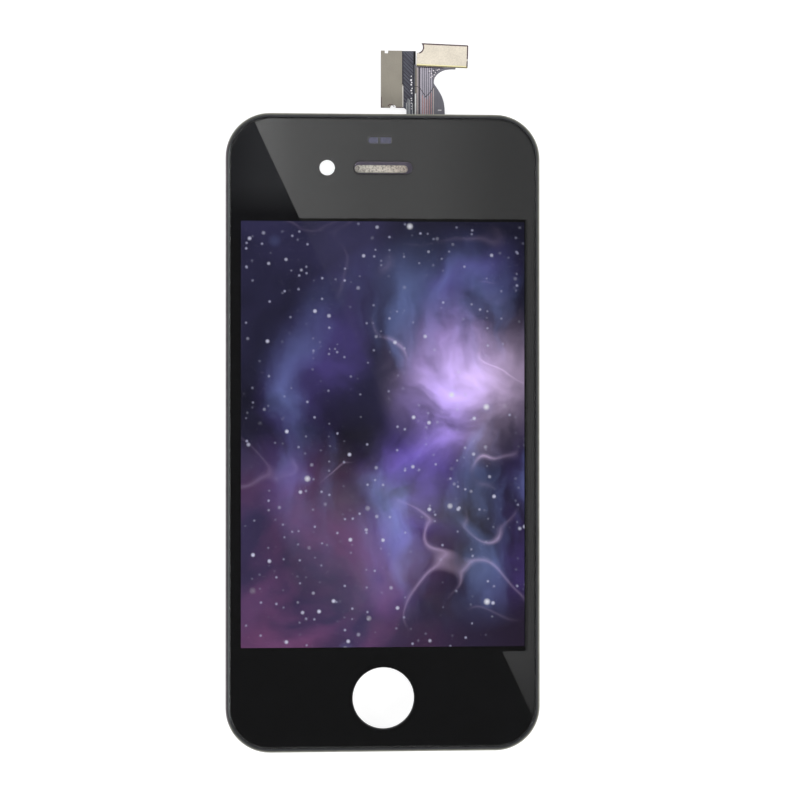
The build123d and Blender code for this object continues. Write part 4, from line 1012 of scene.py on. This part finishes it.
PANEL_FINISHES = (
    ("rear_polariser", (38, 38, 44), 0.1, (0.2, 0.3), {"grain": 3000, "bump": 0.03}, ["rear_polariser"]),
    (
        "panel_glass", (70, 84, 88), 0.08, (0.05, 0.12),
        {"grain": 2500, "bump": 0.02, "Transmission_Weight": 0.5}, ["colour_filter_glass", "array_glass"],
    ),
    ("driver_chip", (46, 46, 52), 0.1, (0.15, 0.3), {"grain": 9000, "bump": 0.04}, ["driver_chip"]),
)


class FinishPanel(bpy.types.Operator):
    """The lit picture, the panel's glasses, its chip and rear polariser"""

    bl_idname = "phone_screen.panel"
    bl_label = "Display panel"

    def execute(self, context):
        dress(picture_finish(context.scene.screen_picture), "front_polariser")
        dress_rows(PANEL_FINISHES)
        return {"FINISHED"}


# Backlight

LED_NODES = [name for name in frame["nodes"] if name.startswith("led_") and name != "led_strip"]
BACKLIGHT_FINISHES = (
    (
        "white_film", (236, 237, 238), 0.03, (0.4, 0.6), {"grain": 5000, "bump": 0.05},
        ["diffuser_film", "reflector_film"],
    ),
    (
        "prism_film", (206, 210, 216), 0.05, (0.15, 0.35),
        {"grain": 9000, "stretch": (1, 0.02, 1), "bump": 0.3}, ["lower_prism_film", "upper_prism_film"],
    ),
    (
        "light_guide", (226, 232, 236), 0.03, (0.05, 0.12),
        {"grain": 2500, "bump": 0.04, "Transmission_Weight": 0.6}, ["light_guide"],
    ),
    ("white_moulding", (224, 225, 222), 0.04, (0.4, 0.55), {"grain": 8000, "bump": 0.1}, ["backlight_frame"]),
    ("led_body", (232, 226, 196), 0.05, (0.35, 0.5), {"grain": 9000}, LED_NODES),
    ("led_strip", (160, 112, 52), 0.1, (0.3, 0.45), {"grain": 4000}, ["led_strip"]),
)


class FinishBacklight(bpy.types.Operator):
    """Films, light guide, lamps, white moulding and the steel tray"""

    bl_idname = "phone_screen.backlight"
    bl_label = "Backlight"

    def execute(self, context):
        back = context.scene.screen_back
        dress_rows(BACKLIGHT_FINISHES)
        steel = grained(
            "tray_steel", back.tray, 0.07, (0.28, 0.42), metal=1.0, grain=3500, stretch=(1, 0.06, 1),
            bump=0.12,
        )
        rounded_copy("folded_tray", "backlight_tray", steel, back.edge_width)
        return {"FINISHED"}


# Bezel, tapes and spacer

# Where the painted highlights on the bezel's edges reach: the left side, the inner edge of the lip and the
# outer edge.
LEFT_SIDE_FROM, LEFT_SIDE_TO = -27.2 * MM, -26.6 * MM
LIP_EDGE_FROM, LIP_EDGE_TO = 0.46 * MM, 0.6 * MM
OUTER_EDGE_FROM = 0.05 * MM


def outline_depth(tree, x, y, low, high, radius):
    """How far a place lies inside a rectangle with round corners, in metres."""
    away_x = link_math(tree, "ABSOLUTE", x)
    away_y = link_math(tree, "ABSOLUTE", link_math(tree, "SUBTRACT", y, (high.y + low.y) / 2))
    over = [
        link_math(tree, "MAXIMUM", link_math(tree, "SUBTRACT", away, half - radius), 0.0)
        for away, half in ((away_x, (high.x - low.x) / 2), (away_y, (high.y - low.y) / 2))
    ]
    return link_math(tree, "SUBTRACT", radius, link_length(tree, *over))


def bezel_finish(bezel):
    """Fine moulded black, with a painted highlight along its outer edge and a little along the inner edge of
    its lip on the left.
    """
    finish, tree, shader = start_finish("bezel_plastic")
    fine = link_noise(tree, 11000)
    broad = link_noise(tree, 600, detail=3.0)
    x, y, _ = place_parts(tree)
    depth = outline_depth(tree, x, y, *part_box("bezel_frame"), bezel.corner_radius)
    colour = link_mix(tree, link_range(tree, broad, 0, 1), toned(bezel.plastic, 0.85), bezel.plastic)
    # Painted highlight: worn is its colour, lighter along the outer edge and with its own colour on the left;
    # outer and patchy place it, and inner adds it along the inner edge of the lip on the left.
    on_left = link_range(tree, x, 1, 0, LEFT_SIDE_FROM, LEFT_SIDE_TO)
    worn = link_mix(tree, on_left, bezel.edge_highlight, bezel.left_edge_highlight)
    outer = link_math(tree, "POWER", link_range(tree, depth, 1, 0, OUTER_EDGE_FROM, bezel.highlight_width), 1.3)
    patchy = link_range(tree, broad, 0.7, 1.0, 0.3, 0.6)
    colour = link_mix(tree, product(tree, outer, patchy), colour, worn)
    inner = product(tree, link_range(tree, depth, 0, 1, LIP_EDGE_FROM, LIP_EDGE_TO), on_left)
    feed(
        tree, shader, Base_Color=link_mix(tree, inner, colour, bezel.inner_edge_highlight),
        Roughness=link_range(tree, fine, 0.2, 0.3),
    )
    link_bump(tree, fine, 0.12, 0.006 * MM, shader)
    return finish


class FinishBezel(bpy.types.Operator):
    """The black moulding with softened edges, its tapes and the spacer ring of the home hole"""

    bl_idname = "phone_screen.bezel"
    bl_label = "Bezel"

    def execute(self, context):
        bezel = context.scene.screen_bezel
        plastic = bezel_finish(bezel)
        rounded_copy("moulded_bezel", "bezel_frame", plastic, bezel.edge_width, segments=3)
        tape = grained("black_tape", shade(26, 26, 28), 0.15, (0.5, 0.65), grain=7000, bump=0.2)
        dress(tape, "rim_tape", "frame_tape", "edge_tape_left", "edge_tape_right")
        spacer = grained("spacer_plastic", shade(30, 30, 32), 0.12, (0.4, 0.5), grain=8000)
        rounded_copy("home_ring", "home_button_spacer", spacer, bezel.edge_width)
        return {"FINISHED"}


# Earpiece

MESH_RIM = 0.3
STEPS_PER_PITCH = 3
CLOTH_BACK, CLOTH_FRONT = 0.06 * MM, 0.03 * MM
CLOTH_LENGTH_SHARE, CLOTH_WIDTH_SHARE = 0.98, 0.96
SHADOW_REACH = 0.3 * MM
WORN_SPOT, SHADED_STEEL = shade(134, 120, 108), shade(126, 128, 104)


def add_mesh_wire(bm, earpiece, middle, way, reach, bend):
    """One wire of the mesh on both sides of its middle; bend is 1 where it passes over there, else -1."""
    pitch, half_height = earpiece.wire_pitch, earpiece.wire_height / 2
    steps = max(2, int(2 * reach / pitch * STEPS_PER_PITCH))
    line = []
    for i in range(steps + 1):
        place = -reach + 2 * reach * i / steps
        rise = half_height * bend * math.cos(math.pi * place / pitch)
        line.append(middle + way * place + Vector((0, 0, rise)))
    add_wire(bm, line, earpiece.wire_width / 2, half_height)


def woven_mesh(earpiece):
    """Wires that pass over and under each other, cut to the outline of the mesh strip."""
    low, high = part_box("earpiece_mesh")
    middle = (low + high) / 2
    half_long, half_wide = (high.x - low.x) / 2, (high.y - low.y) / 2
    straight = half_long - half_wide
    pitch = earpiece.wire_pitch
    along, across = Vector((1, 0, 0)), Vector((0, 1, 0))
    bm = bmesh.new()
    rows = int(half_wide / pitch - MESH_RIM)
    for row in range(-rows, rows + 1):
        reach = straight + half_chord(half_wide, row * pitch)
        add_mesh_wire(bm, earpiece, middle + across * (row * pitch), along, reach, (-1) ** row)
    columns = int(half_long / pitch - MESH_RIM)
    for column in range(-columns, columns + 1):
        reach = half_chord(half_wide, max(0.0, abs(column * pitch) - straight))
        add_mesh_wire(bm, earpiece, middle + along * (column * pitch), across, reach, -((-1) ** column))
    return bm


def backing_cloth():
    """Thin grey cloth that lies against the back of the mesh."""
    low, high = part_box("earpiece_mesh")
    half_long, half_wide = (high.x - low.x) / 2 * CLOTH_LENGTH_SHARE, (high.y - low.y) / 2 * CLOTH_WIDTH_SHARE
    outline = stadium((low + high) / 2, half_long, half_wide, count=48)
    levels = (low.z - CLOTH_BACK, low.z - CLOTH_FRONT)
    bm = bmesh.new()
    join_rings(bm, [[bm.verts.new((*place, level)) for place in outline] for level in levels])
    return bm


def mesh_finish(earpiece):
    """Bright steel, cool at one end and warm at the other, with worn spots and a shaded foot."""
    finish, tree, shader = start_finish("mesh_steel")
    low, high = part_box("earpiece_mesh")
    x, y, _ = place_parts(tree)
    colour = link_mix(tree, link_range(tree, x, 0, 1, low.x, high.x), earpiece.steel, earpiece.warm_steel)
    spots = link_range(tree, link_noise(tree, 3200, detail=3.0, roughness=0.7), 0, 1, 0.48, 0.62)
    colour = link_mix(tree, product(tree, spots, 0.78), colour, WORN_SPOT)
    foot = low.y + earpiece.shaded_foot
    shadow = link_range(tree, y, 0.7, 0, foot, foot + SHADOW_REACH)
    feed(
        tree, shader, Base_Color=link_mix(tree, shadow, colour, SHADED_STEEL),
        Roughness=link_range(tree, spots, 0.35, 0.55, 0, 1), Metallic=0.05,
    )
    return finish


class BuildEarpiece(bpy.types.Operator):
    """The woven steel mesh behind the slot, and its foam gasket"""

    bl_idname = "phone_screen.earpiece"
    bl_label = "Earpiece"

    def execute(self, context):
        earpiece = context.scene.screen_earpiece
        steel = mesh_finish(earpiece)
        add_piece("woven_earpiece_mesh", woven_mesh(earpiece), steel, ("earpiece_mesh",))
        cloth = grained("backing_cloth", shade(232, 226, 210), 0.3, (0.8, 0.95), grain=9000, bump=0.6)
        add_piece("earpiece_cloth", backing_cloth(), cloth)
        foam = grained(
            "gasket_foam", shade(98, 94, 106), 0.2, (0.8, 0.95), grain=5000, bump=0.6, depth=0.03 * MM
        )
        dress(foam, "earpiece_gasket", "sensor_foam_frame")
        return {"FINISHED"}


# Steel plates, tabs, posts, foil and capacitors on the back

RIDGE_HEIGHT = 0.05 * MM
RIDGE_SHARE = 0.35
THREAD_START = 0.4
THREAD_DEPTH = 2.3
THREAD_STEPS = 20
CERAMIC_INSET = 0.03 * MM
CAPACITOR_ROUNDING = 0.025 * MM


def add_thread(bm, centre, foot, bore, pitch):
    """The ridge of a thread inside a hole: a helix that starts at the hole's foot."""
    half = pitch * RIDGE_SHARE
    rings = []
    for i in range(int(bore * THREAD_DEPTH / pitch) * THREAD_STEPS + 1):
        angle = 2 * math.pi * i / THREAD_STEPS
        height = foot + pitch * (THREAD_START + i / THREAD_STEPS)
        way = Vector((math.cos(angle), math.sin(angle)))
        outer, inner = centre + way * bore, centre + way * (bore - RIDGE_HEIGHT)
        corners = ((*outer, height - half), (*inner, height), (*outer, height + half))
        rings.append([bm.verts.new(corner) for corner in corners])
    join_rings(bm, rings, flip=True)


def thread_ridges(back):
    """The ridge of the thread in each post."""
    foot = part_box("corner_posts")[0].z
    mounts = {mount["name"]: mount for mount in frame["record"]["mounts"]}
    pattern = mounts["corner_screws"]["dims"]
    bm = bmesh.new()
    for x_sign in (-1, 1):
        for y_sign in (-1, 1):
            spacing = (x_sign * pattern["spacing_x_mm"], y_sign * pattern["spacing_y_mm"])
            centre = Vector([gap * MM / 2 for gap in spacing])
            add_thread(bm, centre, foot, pattern["hole_r_mm"] * MM, back.thread_pitch)
    return bm


def build_capacitors(back):
    """Ceramic bodies between tinned ends, one for each chip on the display flex."""
    inset = CERAMIC_INSET
    bodies, ends = bmesh.new(), bmesh.new()
    for low, high in loose_boxes("flex_capacitors"):
        first, last = low.x + back.end_length, high.x - back.end_length
        body_low, body_high = (first, low.y + inset, low.z + inset), (last, high.y - inset, high.z)
        add_block(bodies, body_low, body_high, CAPACITOR_ROUNDING / 2)
        add_block(ends, low, (first, high.y, high.z), CAPACITOR_ROUNDING)
        add_block(ends, (last, low.y, low.z), high, CAPACITOR_ROUNDING)
    ceramic = grained("capacitor_ceramic", back.ceramic, 0.08, (0.4, 0.55), grain=9000, bump=0.2)
    tin = grained("capacitor_tin", back.tin, 0.06, (0.25, 0.4), metal=1.0, grain=9000, bump=0.2)
    add_piece("capacitor_bodies", bodies, ceramic, ("flex_capacitors",))
    add_piece("capacitor_ends", ends, tin)


class FinishBack(bpy.types.Operator):
    """Steel plates and tabs with softened edges, threaded posts, the earthing foil and the capacitors"""

    bl_idname = "phone_screen.back"
    bl_label = "Back plates, tabs and posts"

    def execute(self, context):
        back = context.scene.screen_back
        steel = grained(
            "plate_steel", back.plate, 0.08, (0.3, 0.45), metal=1.0, grain=4000, stretch=(0.08, 1, 1),
            bump=0.15,
        )
        for node in ("top_plate", "bottom_plate"):
            rounded_copy(f"sheared_{node}", node, steel, back.edge_width)
        for side in ("left", "right"):
            for row in ("bottom", "middle", "top"):
                node = f"side_tab_{side}_{row}"
                rounded_copy(f"folded_{node}", node, steel, back.edge_width)
        brass = grained("post_brass", back.brass, 0.08, (0.22, 0.35), metal=1.0, grain=6000, bump=0.08)
        rounded_copy("turned_posts", "corner_posts", brass, back.edge_width)
        add_piece("post_threads", thread_ridges(back), brass, sharp_angle=math.radians(60))
        foil = grained(
            "earth_tape", shade(206, 152, 112), 0.08, (0.25, 0.4), metal=1.0, grain=2200, bump=0.5,
            depth=0.02 * MM,
        )
        dress(foil, "earth_tape")
        build_capacitors(back)
        return {"FINISHED"}


# Flex tails. Places on them are in millimetres, levels in metres.

TOUCH_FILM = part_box("touch_flex_stiffener")[0].z - SHEET_GAP
DISPLAY_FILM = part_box("display_flex_stiffener")[0].z - SHEET_GAP
TAIL_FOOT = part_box("bezel_frame")[1].y / MM - 1.5
TOUCH_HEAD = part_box("touch_flex_stiffener")[0].y / MM + 0.2
DISPLAY_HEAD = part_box("display_flex")[1].y / MM - 0.02
STIFFENER_TURN = math.radians(-2.1)
STIFFENER_EDGE = 0.02 * MM
FIRST_TRACE, LAST_TRACE = 6.98, 8.72
COPPER_LINES = ((7.12, 59.9), (7.5, 59.4), (7.92, 59.2), (8.32, 59.8), (8.68, 60.4))
CREASE = ((5.72, 61.45), (6.2, 61.45), (6.62, 61.2), (7.0, 60.7), (7.68, 59.62), (8.5, 60.45), (9.12, 61.4))
POINT_RADIUS = 0.1
BEND_POINTS = (
    (8.4, 64.2), (8.7, 63.8), (9.05, 64.3), (9.4, 63.95), (9.75, 64.4), (8.85, 63.3), (9.2, 63.55),
    (10.05, 64.55), (9.3, 63.0), (8.6, 63.1),
)
BEND_HOLES = (
    (8.25, 63.9), (8.9, 64.05), (9.25, 64.5), (9.6, 64.15), (9.05, 63.75), (8.55, 64.5), (9.9, 64.75),
)
DASH = ((9.85, 57.27), (10.5, 57.27))
# Places and radii of solder points along the display tail's edge, painted as bright as glints.
EDGE_POINTS = (
    (5.14, 63.3, 0.1), (5.1, 62.62, 0.17), (5.2, 62.2, 0.13), (5.12, 61.8, 0.15), (5.26, 61.15, 0.11),
    (5.12, 60.75, 0.14), (5.22, 60.3, 0.12), (5.12, 59.35, 0.11), (5.2, 59.0, 0.1), (5.12, 58.5, 0.1),
    (5.2, 57.95, 0.09), (5.16, 57.5, 0.08),
)
HATCH_LOW, HATCH_HIGH, HATCH_PITCH, HATCH_WIDTH = (3.7, 58.4), (5.44, 67.4), 0.72, 0.18
GREY_LINES = ((4.28, 58.6), (4.56, 59.3), (4.84, 59.1), (5.34, 58.5))
# Runs of darker lines along the display stiffener's lower and left edges and round its notch.
STIFFENER_RIM_LINES = (
    ((-0.2, 57.75), (-0.2, 59.6)), ((-0.2, 57.73), (0.3, 57.73)), ((2.3, 57.73), (3.4, 57.73)),
    ((0.95, 57.9), (1.2, 58.18), (1.55, 58.24), (1.85, 58.05), (2.1, 57.76)),
)
# Scallop and runs of the dark lines along the touch stiffener's top and right edges, and runs of its pale and
# olive lines along the foot.
SCALLOP_MIDDLE, SCALLOP_RADIUS, SCALLOP_ANGLES = (-4.475, 1.3), 1.08, range(36, -80, -11)
DARK_EDGE_RUNS = (((-3.72, 1.94), (4.46, 1.94)), ((4.46, 1.9), (4.46, -0.4)), ((4.46, -0.8), (4.46, -1.9)))
PALE_FOOT_RUN = ((-4.5, -1.78), (4.38, -1.78))
LOWER_RUN = ((-4.52, -1.955), (4.5, -1.955))
# Run of the painted shadow on the film below the touch stiffener.
SHADOW_RUN = ((-4.4, -2.16), (0.3, -2.16))
TAIL_INKS = {
    "lilac_conductor": ((184, 178, 190), 0.12, (0.3, 0.4), 4000),
    "pink_conductor": ((192, 180, 176), 0.08, (0.3, 0.4), 4000),
    "rust_conductor": ((146, 136, 138), 0.12, (0.3, 0.4), 4000),
    # painted shadow below the touch stiffener's left edge
    "moss_shadow_line": ((116, 112, 98), 0.12, (0.35, 0.5), 4000),
    "dark_line": ((50, 46, 52), 0.15, (0.35, 0.5), 4000),
    "pale_line": ((230, 232, 228), 0.08, (0.3, 0.4), 4000),
    "red_conductor": ((172, 124, 118), 0.1, (0.3, 0.4), 4000),
    "solder_points": ((236, 228, 230), 0.08, (0.25, 0.4), 4000),
    "white_mark": ((214, 212, 214), 0.05, (0.5, 0.6), 4000),
    "hatched_copper": ((60, 58, 68), 0.2, (0.35, 0.5), 5000),
    # painted shadow in the gap between the two tails
    "black_edge_shadow": ((24, 23, 27), 0.2, (0.4, 0.55), 5000),
    "grey_conductor": ((186, 189, 190), 0.12, (0.3, 0.4), 4000),
    # painted highlight along the display stiffener's right edge
    "edge_glint": ((240, 236, 228), 0.05, (0.3, 0.4), 4000),
    # solder points with a painted highlight
    "solder_glint": ((244, 243, 246), 0.04, (0.2, 0.4), 4000),
    # darker line along the display stiffener's edges
    "stiffener_rim_line": ((84, 58, 62), 0.15, (0.4, 0.55), 5000),
    # dark line along the touch stiffener's top and right edges
    "dark_edge_line": ((74, 54, 62), 0.15, (0.4, 0.55), 5000),
    # pale line along the touch stiffener's foot
    "pale_foot_line": ((238, 230, 178), 0.05, (0.3, 0.45), 4000),
    "olive_edge": ((96, 88, 56), 0.12, (0.4, 0.5), 4000),
    # painted shadow on the film below the touch stiffener
    "stiffener_shadow": ((66, 58, 74), 0.15, (0.4, 0.5), 4000),
}


def film_finish(name, colour, hatch_angle, hatch_scale, spread):
    """Cover film over copper: a fine ruled pattern that shows through, and a soft mottle."""
    finish, tree, shader = start_finish(name)
    turned = turned_place(tree, add_node(tree, "TexCoord").outputs["Object"], hatch_angle)
    lines = add_node(tree, "TexWave", Vector=turned, Scale=hatch_scale, Distortion=0.4, Detail=1.0)
    mottle = link_noise(tree, 700, detail=5.0)
    both = link_math(tree, "ADD", product(tree, lines.outputs["Fac"], 0.55), product(tree, mottle, 0.6))
    feed(
        tree, shader, Base_Color=two_tone(tree, both, colour, spread, 0.2, 0.9),
        Roughness=link_range(tree, mottle, 0.3, 0.45),
    )
    link_bump(tree, both, 0.2, 0.01 * MM, shader)
    return finish


def up_tail(across, end):
    """A line along a tail, from under the bezel to its end."""
    return (across, TAIL_FOOT), (across, end)


def add_lines(inks, level, rows):
    """Pieces of thin strips on one level: name, ink, runs, width and rise of each."""
    for name, ink, runs, width, rise in rows:
        add_piece(name, strips(runs, width, level, level + rise), inks[ink])


def add_points(name, finish, spots, height):
    """Low round points of one radius on the film of the touch tail."""
    sized = [(x, y, POINT_RADIUS) for x, y in spots]
    add_piece(name, discs(sized, TOUCH_FILM, height, sides=12), finish)


def build_touch_lines(tails, inks):
    """Conductors, crease, points and a plain dash on the film of the touch tail."""
    rise = tails.trace_height
    thin = 0.9 * rise
    step = (LAST_TRACE - FIRST_TRACE) / (tails.trace_count - 1)
    traces = [up_tail(FIRST_TRACE + step * i, TOUCH_HEAD) for i in range(tails.trace_count)]
    copper = [up_tail(*line) for line in COPPER_LINES]
    add_lines(inks, TOUCH_FILM, (
        ("touch_conductors", "lilac_conductor", traces, tails.trace_width, rise),
        ("outer_conductor_left", "pink_conductor", [up_tail(6.17, TOUCH_HEAD)], 0.15 * MM, thin),
        ("outer_conductor_right", "pink_conductor", [up_tail(9.06, 61.3)], 0.14 * MM, thin),
        ("inner_conductor_left", "rust_conductor", [up_tail(6.39, TOUCH_HEAD)], 0.1 * MM, thin),
        ("inner_conductor_right", "lilac_conductor", [up_tail(6.78, TOUCH_HEAD)], 0.12 * MM, thin),
        # Painted shadow: an olive line on the touch film below the touch stiffener's left edge.
        ("film_shadow_line", "moss_shadow_line", [((5.93, 60.3), (5.93, 64.7))], 0.2 * MM, rise),
        ("dark_conductor", "dark_line", [up_tail(6.58, TOUCH_HEAD)], 0.14 * MM, thin),
        ("tail_edge_light", "pale_line", [up_tail(5.86, 60.2)], 0.2 * MM, thin),
        ("red_conductors", "red_conductor", copper, tails.trace_width * 0.8, rise * 1.3),
        ("tail_crease", "dark_line", [CREASE], 0.1 * MM, rise * 1.6),
    ))
    add_points("solder_points", inks["solder_points"], BEND_POINTS, 0.04 * MM)
    add_points("bend_holes", inks["dark_line"], BEND_HOLES, 0.02 * MM)
    add_lines(inks, TOUCH_FILM, (("film_mark", "white_mark", [DASH], 0.2 * MM, rise),))


def hatch_runs():
    """Slanting lines side by side within a rectangle of the film, as the copper under it shows."""
    runs = []
    total = sum(HATCH_LOW) + HATCH_PITCH
    while total < sum(HATCH_HIGH) - HATCH_PITCH:
        left, right = max(HATCH_LOW[0], total - HATCH_HIGH[1]), min(HATCH_HIGH[0], total - HATCH_LOW[1])
        if right - left > 2 * HATCH_WIDTH:
            runs.append(((left, total - left), (right, total - right)))
        total += HATCH_PITCH
    return runs


def build_display_lines(tails, inks):
    """Hatching, a painted shadow along its edge and the conductors at the foot of the display tail; by its
    stiffener, a painted highlight, solder points with painted glints and darker lines along the stiffener's
    edges.
    """
    rise = tails.trace_height
    grey = [up_tail(*line) for line in GREY_LINES]
    add_lines(inks, DISPLAY_FILM, (
        ("display_tail_hatch", "hatched_copper", hatch_runs(), HATCH_WIDTH * MM, rise / 2),
        ("display_tail_seam", "hatched_copper", [((3.64, 61.6), (3.64, 67.5))], 0.14 * MM, rise),
        # Painted shadow: a black strip along the display tail's right edge, where the touch tail shades the
        # gap between the two tails.
        ("display_tail_edge_shadow", "black_edge_shadow", [up_tail(5.72, DISPLAY_HEAD)], 0.4 * MM, rise),
        ("display_tail_conductors", "grey_conductor", grey, 0.12 * MM, rise),
    ))
    # Painted highlight: a pale strip on the film along the display stiffener's right edge, standing for light
    # on that edge.
    cut = ("stiffener_edge_glint", "edge_glint", [((3.6, 57.8), (3.6, 61.9))], 0.2 * MM, rise)
    add_lines(inks, DISPLAY_FILM, (cut,))
    # Solder points along the tail's edge, painted as bright as glints: partly real solder, partly a painted
    # highlight.
    points = discs(EDGE_POINTS, DISPLAY_FILM, 0.05 * MM, sides=10)
    add_piece("edge_solder_glints", points, inks["solder_glint"])
    # Darker lines along the stiffener's lower and left edges and round its notch.
    rim_lines = ("stiffener_rim_lines", "stiffener_rim_line", STIFFENER_RIM_LINES, 0.12 * MM, 0.01 * MM)
    add_lines(inks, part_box("display_flex_stiffener")[1].z, (rim_lines,))


def on_touch_stiffener(run):
    """Places on the turned stiffener, given from its middle."""
    low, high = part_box("touch_flex_stiffener")
    middle = (low + high).to_2d() / 2 / MM
    turn = Matrix.Rotation(STIFFENER_TURN, 2)
    return [middle + turn @ Vector(place) for place in run]


def build_stiffener_edges(inks):
    """Dark lines along the top and right edges of the touch stiffener and round its scallop, a pale line and
    an olive line along its foot, and a painted shadow on the film just below it.
    """
    x, y = SCALLOP_MIDDLE
    turns = [math.radians(angle) for angle in SCALLOP_ANGLES]
    scallop = [(x + SCALLOP_RADIUS * math.cos(turn), y + SCALLOP_RADIUS * math.sin(turn)) for turn in turns]
    # sheared holds the runs of the dark lines round the scallop and along the top and right edges.
    sheared = [on_touch_stiffener(run) for run in (scallop, *DARK_EDGE_RUNS)]
    rise = 0.012 * MM
    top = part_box("touch_flex_stiffener")[1].z + 0.004 * MM
    add_lines(inks, top, (
        ("stiffener_dark_edge_line", "dark_edge_line", sheared, 0.21 * MM, rise),
        ("stiffener_pale_foot_line", "pale_foot_line", [on_touch_stiffener(PALE_FOOT_RUN)], 0.2 * MM, rise),
        ("stiffener_lower_edge", "olive_edge", [on_touch_stiffener(LOWER_RUN)], 0.16 * MM, rise),
    ))
    # Painted shadow: a dark strip on the film just below the stiffener's foot.
    fold = ("touch_stiffener_shadow", "stiffener_shadow", [on_touch_stiffener(SHADOW_RUN)], 0.2 * MM, rise)
    add_lines(inks, TOUCH_FILM, (fold,))


class BuildTails(bpy.types.Operator):
    """Films and stiffeners of the two tails, and the conductors, points and marks on them"""

    bl_idname = "phone_screen.tails"
    bl_label = "Flex tails"

    def execute(self, context):
        tails = context.scene.screen_tails
        slate = film_finish("display_film", tails.slate, hatch_angle=-45, hatch_scale=820, spread=0.34)
        mauve = film_finish("touch_film", tails.mauve, hatch_angle=0, hatch_scale=1250, spread=0.24)
        dress(slate, "display_flex")
        dress(mauve, "touch_flex")
        beige = grained(
            "display_stiffener", tails.beige, 0.06, (0.45, 0.6), metal=0.25, grain=5000, bump=0.15
        )
        cream = grained("touch_stiffener", tails.cream, 0.1, (0.45, 0.6), grain=3600, bump=0.15)
        for side, finish in (("display", beige), ("touch", cream)):
            slot = f"{side}_stiffener"
            rounded_copy(f"{slot}_plate", f"{side}_flex_stiffener", finish, STIFFENER_EDGE)
        inks = {
            name: grained(name, shade(*colour), spread, rough, grain=grain)
            for name, (colour, spread, rough, grain) in TAIL_INKS.items()
        }
        build_touch_lines(tails, inks)
        build_display_lines(tails, inks)
        build_stiffener_edges(inks)
        return {"FINISHED"}


class FinishPlugs(bpy.types.Operator):
    """Housings and contacts of the two plugs under the tails"""

    bl_idname = "phone_screen.plugs"
    bl_label = "Plugs"

    def execute(self, context):
        housing = grained("connector_plastic", shade(58, 52, 46), 0.1, (0.35, 0.5), grain=9000)
        for plug in ("display", "touch"):
            rounded_copy(f"{plug}_plug_housing", f"{plug}_connector", housing, 0.03 * MM)
        gold = grained(
            "contact_gold", shade(224, 182, 96), 0.06, (0.18, 0.3), metal=1.0, grain=6000, bump=0.05
        )
        dress(gold, "display_contacts", "touch_contacts")
        return {"FINISHED"}


# Sidebar, registration and the run


class ScreenPanel(bpy.types.Panel):
    """Lists the settings and the steps of the screen"""

    bl_idname = "PHONE_SCREEN_PT_steps"
    bl_label = "Phone Screen"
    bl_space_type = "VIEW_3D"
    bl_region_type = "UI"
    bl_category = "Phone Screen"

    def draw(self, context):
        for step in STEPS:
            self.layout.operator(step.bl_idname)
        for name in SETTINGS:
            settings = getattr(context.scene, name)
            box = self.layout.box()
            for key in settings.__annotations__:
                box.prop(settings, key)


SETTINGS = {
    "screen_studio": StudioSettings,
    "screen_glass": GlassSettings,
    "screen_picture": PictureSettings,
    "screen_bezel": BezelSettings,
    "screen_earpiece": EarpieceSettings,
    "screen_tails": TailSettings,
    "screen_back": BackSettings,
}
STEPS = (
    BuildStudio, FinishGlass, FinishPanel, FinishBacklight, FinishBezel, BuildEarpiece, FinishBack,
    BuildTails, FinishPlugs,
)


def register():
    for group in (*SETTINGS.values(), *STEPS, ScreenPanel):
        bpy.utils.register_class(group)
    for name, group in SETTINGS.items():
        setattr(bpy.types.Scene, name, PointerProperty(type=group))


def unregister():
    for name in SETTINGS:
        delattr(bpy.types.Scene, name)
    for group in (ScreenPanel, *reversed(STEPS), *reversed(list(SETTINGS.values()))):
        bpy.utils.unregister_class(group)


def main():
    register()
    bpy.ops.phone_screen.studio()
    bpy.ops.phone_screen.glass()
    bpy.ops.phone_screen.panel()
    bpy.ops.phone_screen.backlight()
    bpy.ops.phone_screen.bezel()
    bpy.ops.phone_screen.earpiece()
    bpy.ops.phone_screen.back()
    bpy.ops.phone_screen.tails()
    bpy.ops.phone_screen.plugs()


if __name__ == "__main__":
    main()
